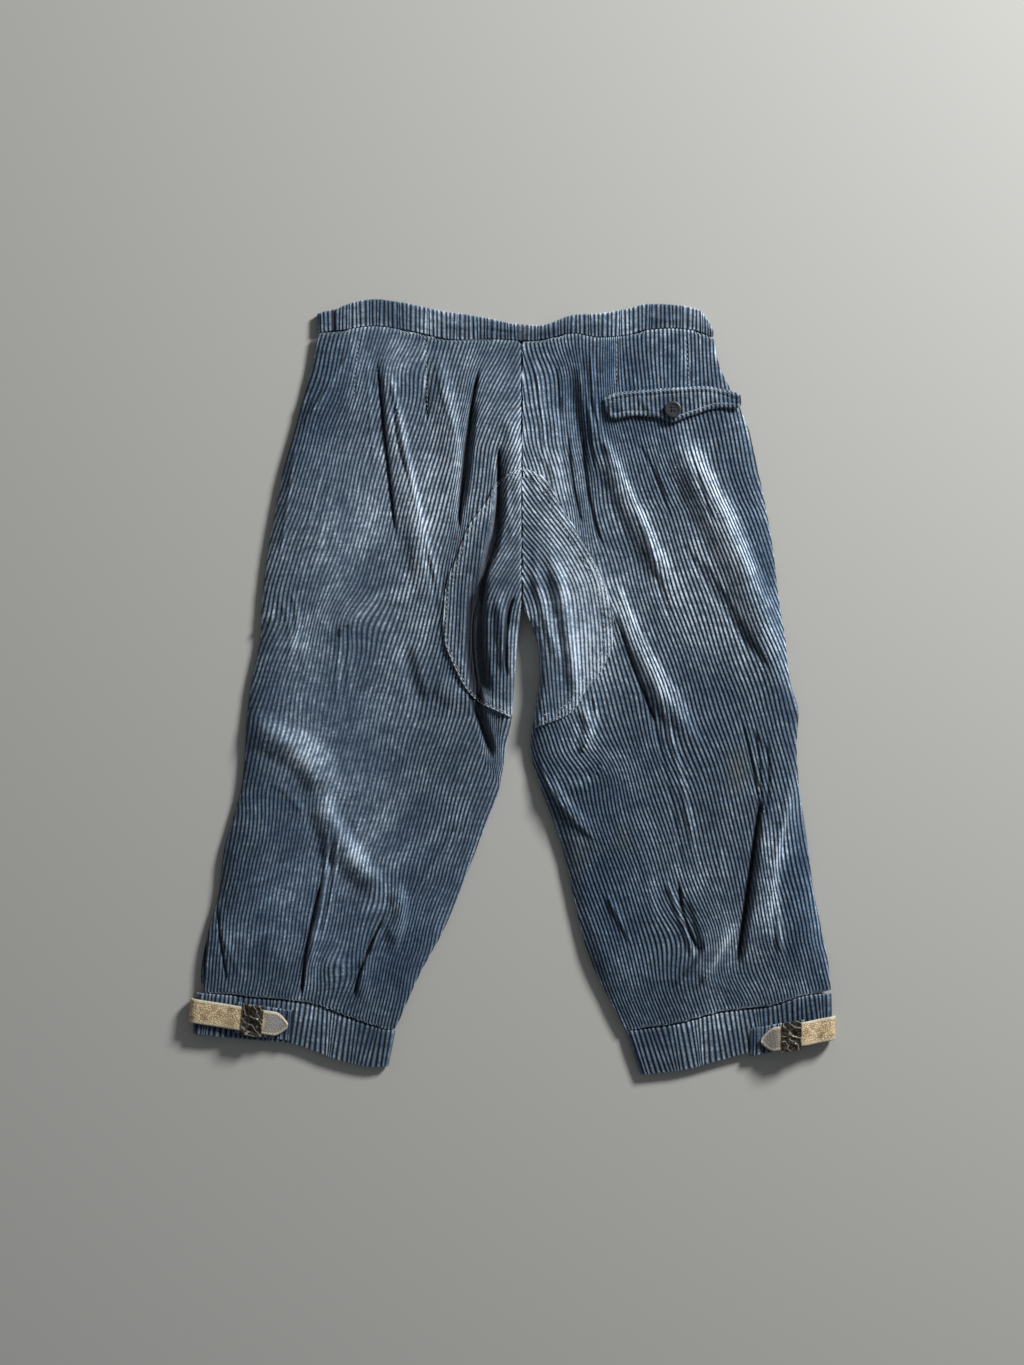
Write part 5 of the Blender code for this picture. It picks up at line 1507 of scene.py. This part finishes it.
def band_cloth(name, stations, wall, puff, wale, sway=0.15, closed=False):
    """A band's mesh: a flattened tube along stations of lower edge, upper edge and upward direction."""
    lows, highs, ups = (np.array(column, float) for column in zip(*stations))
    if closed:
        lows, highs, ups = (np.vstack([rows, rows[:1]]) for rows in (lows, highs, ups))
    run = run_length((lows + highs) / 2) / wale
    if closed:
        run *= round(run[-1]) / run[-1]
    heights = dict(WALE_COLUMNS)
    wanted = np.array([k + share for k in range(int(run[-1] - 0.1)) for share in heights])
    if not closed:
        wanted = np.append(wanted, run[-1])
    # The wales are uneven and lean a little
    turns = 2 * math.pi * wanted / run[-1]
    uneven = 0.25 * np.sin(7 * turns) + 0.12 * np.sin(19 * turns)
    lean = sway * (np.sin(5 * turns) + 0.7 * np.sin(13 * turns))
    lows, highs, ups = (
        np.stack([np.interp(wanted + warp, run, rows[:, axis]) for axis in range(3)], axis=1)[:, None, :]
        for rows, warp in ((lows, uneven), (highs, uneven + lean), (ups, uneven))
    )
    ups = ups / np.linalg.norm(ups, axis=2, keepdims=True)
    loops, wide, share, side, out, across = tube_loops(lows, highs, ups, wall)
    deep = np.array([1 - heights.get(round(float(u % 1), 3), 1.0) for u in wanted])[:, None, None]
    loops = loops - out * WALE_DEEP * deep * BAND_WALE_SHARE
    soft = np.sin(math.pi * share) * (side > 0)
    x, y = loops[..., 0], loops[..., 1]
    fold = (folds_height(x, y, BAND_FOLDS) + BAND_WAVE_SHARE * waves_height(x * 1.6, y, WAVES))[..., None]
    loops = loops + ups * soft * (puff + fold) * (0.5 + 0.5 * ups[..., 2:])
    from_end = np.minimum(wanted, wanted[-1] - wanted)[:, None] * wale + (FAR if closed else 0)
    end = np.exp(-((from_end / END_REACH) ** 2))
    loops = loops - ups * (side > 0) * end[..., None]
    across = across[..., 0]
    wear_and_shade = worn_and_shaded(loops[..., 0], loops[..., 1])
    # Painted shade at the band's rounded-down ends
    wear_and_shade[..., 1] = 0.8 * end
    centimetres = wanted[:, None] * wale / 10
    wear_and_shade[..., 0] += 0.2 * np.sin(centimetres * 0.9 + 2 * np.sin(centimetres * 0.23))
    edge = np.minimum(across, wide[..., 0] - across)
    wear_and_shade[..., 0] += 0.5 * np.exp(-((edge / BAND_EDGE_REACH) ** 2))
    u = np.repeat(wanted, loops.shape[1])
    mesh = tube_mesh(name, loops, closed)
    return finish_cloth(name, mesh, u, across.ravel() + BAND_MAP_Y, wear_and_shade.reshape(-1, wear_and_shade.shape[-1]))


def at(place, z):
    """A place of the plan at a height."""
    return np.array((place[0], place[1], z))


def waist_stations(leg, table, shares, z, shift=(0, 0), up=UP):
    """Stations of the waistband at shares of a leg's waist, at a height."""
    stations = []
    for share in shares:
        low = leg.point(share, 0) + np.array(shift)
        high = low + np.array((0, read_rows(table, share)[0]))
        stations.append((at(low, z), at(high, z), up))
    return stations


flat_z = BAND_WALL / 2
turn_z = flat_z + TURN_RADIUS
turn_share = (TURN_RADIUS + BAND_WALL / 2) / LEFT_WAIST_WIDE
wrap_share = (FRONT_WRAP - SEAM_GAP) / LEFT_WAIST_WIDE
stations = waist_stations(right_leg, RIGHT_BAND, [0.004 + 0.996 * i / 60 for i in range(61)], flat_z)
stations += waist_stations(left_leg, LEFT_BAND, [1 - (1 - turn_share) * i / 60 for i in range(1, 61)], flat_z)
for angle in [math.pi * i / 8 for i in range(1, 9)]:
    z = turn_z - TURN_RADIUS * math.cos(angle)
    shift = (-TURN_RADIUS * math.sin(angle), 0)
    up = np.array((math.sin(angle), 0, math.cos(angle)))
    stations += waist_stations(left_leg, LEFT_BAND, [turn_share], z, shift, up)
wraps = [turn_share + (wrap_share - turn_share) * i / 6 for i in range(1, 7)]
stations += waist_stations(left_leg, LEFT_BAND, wraps, turn_z + TURN_RADIUS, up=-UP)
front_band = band_cloth("waistband_front_cloth", stations, BAND_WALL, 0.0, WAIST_WALE)
finish_piece(front_band, "waistband_front", cloth_finish)
for side, leg, table, first in (
    ("left", left_leg, LEFT_BAND, FRONT_WRAP / LEFT_WAIST_WIDE),
    ("right", right_leg, RIGHT_BAND, 0.0),
):
    shares = [first + (1 - first) * i / 90 for i in range(91)]
    stations = waist_stations(leg, table, shares, (BAND_LOW + BAND_TOP) / 2)
    band = band_cloth(f"waistband_back_{side}_cloth", stations, BAND_WALL, 0.7, WAIST_WALE)
    finish_piece(band, f"waistband_back_{side}", cloth_finish)

# Cuffs: a band of corduroy round the end of each leg, its wales upright, folded double and sewn on. The
# sewn end of the strap lies inside the outer end and lifts it.
CUFF_WALE = 3.0
CUFF_STATIONS = 61
CUFF_JOIN = 90  # the station on the underside where the wales start and end
# Share of the cuff from its outer end, x and y of its lower edge
LEFT_HEM = (
    (0, -217.2, -235.6), (0.27, -180.9, -239.4), (0.52, -147.6, -242.8), (0.72, -121.7, -252.3),
    (0.9, -97.5, -258.2), (1, -84.0, -257.2),
)
RIGHT_HEM = (
    (0, 216.6, -236.5), (0.16, 196.0, -242.0), (0.44, 159.1, -248.9), (0.73, 121.7, -259.1),
    (0.86, 104.7, -261.8), (1, 87.7, -263.4),
)
STRAP_WALL = 2.0
LIFT = STRAP_WALL + SEAM_GAP
LIFT_FULL = 16.0
LIFT_GONE = 32.0


def lift_at(distance):
    """How far the strap lifts the cuff, by the distance from the cuff's outer end."""
    return LIFT * float(smooth((LIFT_GONE - distance) / (LIFT_GONE - LIFT_FULL)))


for side, leg, hem in (("left", left_leg, LEFT_HEM), ("right", right_leg, RIGHT_HEM)):
    name = f"cuff_{side}"
    outer, inner = leg.point(0, 1), leg.point(1, 1)
    wide = np.linalg.norm(inner - outer)
    inward = (inner - outer) / wide
    inset = (TURN_RADIUS + BAND_WALL / 2) / wide
    shares = np.linspace(inset, 1 - inset, CUFF_STATIONS)
    middle = BAND_WALL / 2 + TURN_RADIUS
    turn = np.linspace(0, math.pi, 9)[1:-1]
    places = [(share, 0.0, 1.0) for share in shares]
    places += [(shares[-1], math.sin(angle), math.cos(angle)) for angle in turn]
    places += [(share, 0.0, -1.0) for share in shares[::-1]]
    places += [(shares[0], -math.sin(angle), -math.cos(angle)) for angle in turn]
    stations = []
    for share, out, up in places:
        seam = leg.point(share, 1)
        free = np.array(read_rows(hem, share))
        sewn = seam + (free - seam) / np.linalg.norm(free - seam) * SEAM_GAP
        shift = inward * out * TURN_RADIUS
        z = middle + TURN_RADIUS * up + lift_at(share * wide)
        stations.append((at(sewn + shift, z), at(free + shift, z), np.array((*(inward * out), up))))
    stations = stations[CUFF_JOIN:] + stations[:CUFF_JOIN]
    cuff = band_cloth(f"{name}_cloth", stations, BAND_WALL, 0.5, CUFF_WALE, sway=0.55, closed=True)
    finish_piece(cuff, name, cloth_finish)

# Tabs, straps and buckles: each cuff has a loop of cloth that holds a metal slide buckle, and a leather
# strap, sewn inside the cuff's outer end, that turns up round it and runs through the buckle.
STRAP_WIDE = 16.4
STRAP_INSIDE = 12.0
STRAP_TIP = 9.0
FOLD_PAST_END = 4  # the strap's fold lies this far past the cuff's outer end
BUCKLE_MARGIN = 4
LEVEL_BEFORE_BUCKLE = 2.0
RISES_OVER = 11.0
LEVEL_AFTER_BUCKLE = 1.5
FALLS_OVER = 12.0
TAB_WALL = 1.6
BUCKLE_PLATE = 1.1
Fastening = namedtuple(
    "Fastening", "fold_x fold_y tip_x tip_y buckle_from buckle_to buckle_high tab_from tab_to tab_high"
)
LEFT_FASTENING = Fastening(-218.7, -218.9, -151.8, -229.4, 36.5, 50.5, 21.0, 31.0, 71.0, 21.0)
RIGHT_FASTENING = Fastening(219.4, -230.8, 168.6, -239.8, 24.0, 37.6, 19.6, 20.0, 59.0, 19.0)
LEATHER_BARE = (0.12, 0.085, 0.045)
GILT_DULL = (0.58, 0.43, 0.23)
GILT_BRIGHT = (0.68, 0.53, 0.31)
CRACK_BROWN = (0.10, 0.065, 0.035)
TIP_GREY = (0.225, 0.205, 0.19)  # past the buckle the gilt is worn away
EDGE_CREAM = (0.47, 0.42, 0.31)
leather, tree, shader = new_finish("gilt leather, cracked")
strap_map = node(tree, "ShaderNodeUVMap", uv_map="wales").outputs[0]
strap_wear = node(tree, "ShaderNodeAttribute", attribute_name="wear_and_shade").outputs["Color"]
strap_wear = node(tree, "ShaderNodeSeparateColor", {0: strap_wear})
clouds = noise(tree, strap_map, 0.16, 5.0, 0.7)
grain = noise(tree, strap_map, 1.1, 3.0, 0.7)
cells = node(tree, "ShaderNodeTexVoronoi", {"Vector": strap_map, "Scale": 0.62}, feature="DISTANCE_TO_EDGE")
cracks = between(tree, cells.outputs["Distance"], 0.02, 0.16)
gilt = blend(tree, between(tree, grain, 0.42, 0.6), LEATHER_BARE, GILT_DULL)
gilt = blend(tree, between(tree, clouds, 0.38, 0.6), gilt, GILT_BRIGHT)
gilt = blend(tree, times(tree, minus(tree, 1.0, cracks), 0.6), gilt, CRACK_BROWN)
gilt = blend(tree, strap_wear.outputs[0], gilt, TIP_GREY)
edge_line = between(tree, strap_wear.outputs[1], 0.35, 0.65, curve="SMOOTHSTEP")
gilt = blend(tree, times(tree, edge_line, 0.85), gilt, EDGE_CREAM)
relief = plus(tree, cracks, times(tree, grain, 0.5))
bump = node(tree, "ShaderNodeBump", {"Height": relief, "Strength": 0.6, "Distance": 0.0003})
feed(tree, shader, {"Base Color": gilt, "Roughness": between(tree, grain, 0, 1, 0.42, 0.72)})
feed(tree, shader, {"Normal": bump.outputs[0]})

BRONZE_DARK = (0.035, 0.028, 0.022)
BRONZE_RUBBED = (0.20, 0.17, 0.135)
BRONZE_BARE = (0.62, 0.58, 0.50)
bronze, tree, shader = new_finish("dark bronze, scratched")
bronze_where = node(tree, "ShaderNodeTexCoord").outputs["Object"]
patina = noise(tree, bronze_where, 420.0, 5.0, 0.7)
scratch = node(
    tree,
    "ShaderNodeTexWave",
    {"Vector": bronze_where, "Scale": 95.0, "Distortion": 9.0, "Detail": 2.0, "Detail Scale": 1.6},
    bands_direction="DIAGONAL",
)
bronze_colour = blend(tree, between(tree, patina, 0.45, 0.68), BRONZE_DARK, BRONZE_RUBBED)
scratches = between(tree, scratch.outputs["Fac"], 0.86, 0.97)
bronze_colour = blend(tree, scratches, bronze_colour, BRONZE_BARE)
bump = node(tree, "ShaderNodeBump", {"Height": patina, "Strength": 0.5, "Distance": 0.0003})
feed(tree, shader, {"Base Color": bronze_colour, "Roughness": between(tree, patina, 0, 1, 0.28, 0.6)})
feed(tree, shader, {"Metallic": 1.0, "Normal": bump.outputs[0]})


class Strap:
    """The line that a strap follows, and the heights of what lies under and on it."""

    def __init__(self, row, leg, hem):
        self.row = row
        self.fold = np.array((row.fold_x, row.fold_y))
        tip = np.array((row.tip_x, row.tip_y))
        self.length = float(np.linalg.norm(tip - self.fold))
        self.along = (tip - self.fold) / self.length
        cross = leg.point(0, 1) - np.array(read_rows(hem, 0))
        self.cross = cross / np.linalg.norm(cross)
        steps = np.linspace(row.tab_from, row.tab_to, 9)
        under_buckle = max(self.tab_top(step) for step in steps if step > row.buckle_from - BUCKLE_MARGIN)
        self.in_buckle = under_buckle + SEAM_GAP + BUCKLE_PLATE + SEAM_GAP

    def tab_top(self, distance):
        """The top of the tab, on the cuff that the strap lifts."""
        return BAND_TOP + lift_at(distance - FOLD_PAST_END) + SEAM_GAP + TAB_WALL

    def underside(self, distance):
        """The strap's lower side: on the cuff, up through the buckle and down on to the tab."""
        start = BAND_TOP + LIFT + SEAM_GAP
        level = max(start, self.in_buckle)
        on_tab = self.tab_top(self.length) + SEAM_GAP
        rise = smooth(1 + (distance - self.row.buckle_from + LEVEL_BEFORE_BUCKLE) / RISES_OVER)
        fall = smooth((distance - self.row.buckle_to - LEVEL_AFTER_BUCKLE) / FALLS_OVER)
        return float(start + (level - start) * rise + (on_tab - level) * fall)

    def station(self, distance, half, z, up=UP):
        """A lower edge, an upper edge and the upward direction, at a distance from the fold."""
        middle = self.fold + self.along * distance
        return at(middle - self.cross * half, z), at(middle + self.cross * half, z), up


# Shares of the strap's tip, from where it narrows
TIP_SHARES = (0.0, 0.15, 0.3, 0.45, 0.6, 0.72, 0.82, 0.9, 0.96, 1.0)
TIP_NARROWS = 0.8
RIM_REACH = 1.1
RIM_WIDE = 3
RIDGE_IN = 0.4  # a low ridge runs along the edges, this far inside them
RIDGE_WIDE = 0.7
RIDGE_HIGH = 0.35
CROWN_HIGH = 0.25

for side, leg, hem, row in (
    ("left", left_leg, LEFT_HEM, LEFT_FASTENING),
    ("right", right_leg, RIGHT_HEM, RIGHT_FASTENING),
):
    strap = Strap(row, leg, hem)
    stations = []
    for distance in np.linspace(row.tab_from, row.tab_to, 30):
        stations.append(strap.station(distance, row.tab_high / 2, strap.tab_top(distance) - TAB_WALL / 2))
    tab = band_cloth(f"cuff_tab_{side}_cloth", stations, TAB_WALL, 0.3, WAIST_WALE)
    finish_piece(tab, f"cuff_tab_{side}", cloth_finish)

    radius = (BAND_TOP + LIFT + SEAM_GAP) / 2
    reach = STRAP_WALL / 2
    centre = radius + reach
    half = STRAP_WIDE / 2
    stations = []
    for distance in np.linspace(centre + STRAP_INSIDE, centre, 8):
        stations.append(strap.station(distance, half, reach, -UP))
    for angle in np.linspace(0, math.pi, 15)[1:]:
        up = np.array((*(strap.along * -math.sin(angle)), -math.cos(angle)))
        place = centre - radius * math.sin(angle)
        stations.append(strap.station(place, half, centre - radius * math.cos(angle), up))
    for distance in np.arange(centre + 1.0, strap.length - STRAP_TIP, 1.0):
        stations.append(strap.station(distance, half, strap.underside(distance) + reach))
    for share in TIP_SHARES:
        distance = strap.length - STRAP_TIP * (1 - share)
        narrow = half * (1 - TIP_NARROWS * share**1.6)
        stations.append(strap.station(distance, narrow, strap.underside(distance) + reach))
    lows, highs, ups = (np.array(column)[:, None, :] for column in zip(*stations))
    loops, wide, share, wall_side, *_ = tube_loops(lows, highs, ups, STRAP_WALL)
    crossing = ((share - 0.5) * (wide - STRAP_WALL))[..., 0]
    rim = (wide / 2)[..., 0] - np.abs(crossing) - reach
    ridge = RIDGE_HIGH * np.exp(-(((rim - RIDGE_IN) / RIDGE_WIDE) ** 2))
    crown = ridge + CROWN_HIGH * np.sin(math.pi * share)[..., 0] ** 0.5
    loops = loops + ups * (wall_side > 0) * crown[..., None] * (0.5 + 0.5 * ups[..., 2:])
    run = run_length((lows + highs)[:, 0] / 2)
    wear_and_shade = np.zeros((*loops.shape[:2], 5))
    past_buckle = run[:, None] - (run[-1] - strap.length + row.buckle_to)
    wear_and_shade[..., 0] = smooth((past_buckle + 1) / 4)
    rim = np.minimum(rim, run[-1] - run[:, None])
    wear_and_shade[..., 1] = np.exp(-((rim / RIM_REACH) ** 2)) * (rim < RIM_WIDE)
    mesh = tube_mesh(f"strap_{side}", loops)
    u = np.repeat(run, loops.shape[1])
    made = finish_cloth(f"strap_{side}_leather", mesh, u, crossing.ravel(), wear_and_shade.reshape(-1, wear_and_shade.shape[-1]))
    finish_piece(made, f"strap_{side}", leather)
    finish_node(f"buckle_{side}", bronze)

# Darts: the backs are taken in below the waistband by four short folds, each sewn down. A row of pale
# stitches, in the thread of the patches, shows along each.
runs = []
for leg, dart, stitch, gap, radius in (
    (left_leg, DARTS[0], 2.0, 0.9, 0.3),
    (left_leg, DARTS[1], 2.2, 0.8, 0.3),
    (right_leg, DARTS[2], 2.2, 1.0, 0.26),
    (right_leg, DARTS[3], 2.2, 1.0, 0.26),
):
    line = fold_line(dart)
    high = back_top(leg, line[:, 0], line[:, 1])[0]
    runs.append(Run(np.column_stack([line, high + 0.1]), stitch, gap, radius))
sew("dart_stitches", runs)

# Floor, light and camera: a plain pale table, one large soft light from the upper right, as a window
# gives, with a weak even light all round, and the camera straight above the garment.
TABLE_SIZE = 8
TABLE_DROP = 0.0004  # clear of the cloth, so that the two don't flicker
TABLE_GREY = (0.36, 0.36, 0.338)
bpy.ops.object.select_all(action="DESELECT")
bpy.ops.mesh.primitive_plane_add(size=TABLE_SIZE, location=(0, 0, -TABLE_DROP))
floor = bpy.context.object
floor.name = "table"
floor_finish, tree, shader = new_finish("pale table")
feed(tree, shader, {"Base Color": (*TABLE_GREY, 1.0), "Roughness": 0.8})
floor.data.materials.append(floor_finish)
floor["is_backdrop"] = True

key = bpy.data.lights.new("window", "AREA")
key.shape = "DISK"
key.size = 0.55
key.energy = 93
key_light = bpy.data.objects.new("window", key)
key_light.location = (1.42, 1.45, 1.12)
key_light.rotation_euler = (Vector((0, 0, 0)) - key_light.location).to_track_quat("-Z", "Y").to_euler()
bpy.context.scene.collection.objects.link(key_light)

world = bpy.data.worlds.new("room")
world.use_nodes = True
sky = world.node_tree.nodes["Background"]
feed(world.node_tree, sky, {"Color": (0.93, 0.96, 1.0, 1.0), "Strength": 0.21})
bpy.context.scene.world = world
bpy.context.scene.view_settings.view_transform = "Standard"

VIEW_HIGH = 0.9282
CAMERA_Y = 0.00306
camera_data = bpy.data.cameras.new("above")
camera_data.lens = 85
camera_data.sensor_width = 36
camera = bpy.data.objects.new("above", camera_data)
camera.location = (0, CAMERA_Y, VIEW_HIGH * camera_data.lens / camera_data.sensor_width)
bpy.context.scene.collection.objects.link(camera)
bpy.context.scene.camera = camera

low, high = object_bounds()
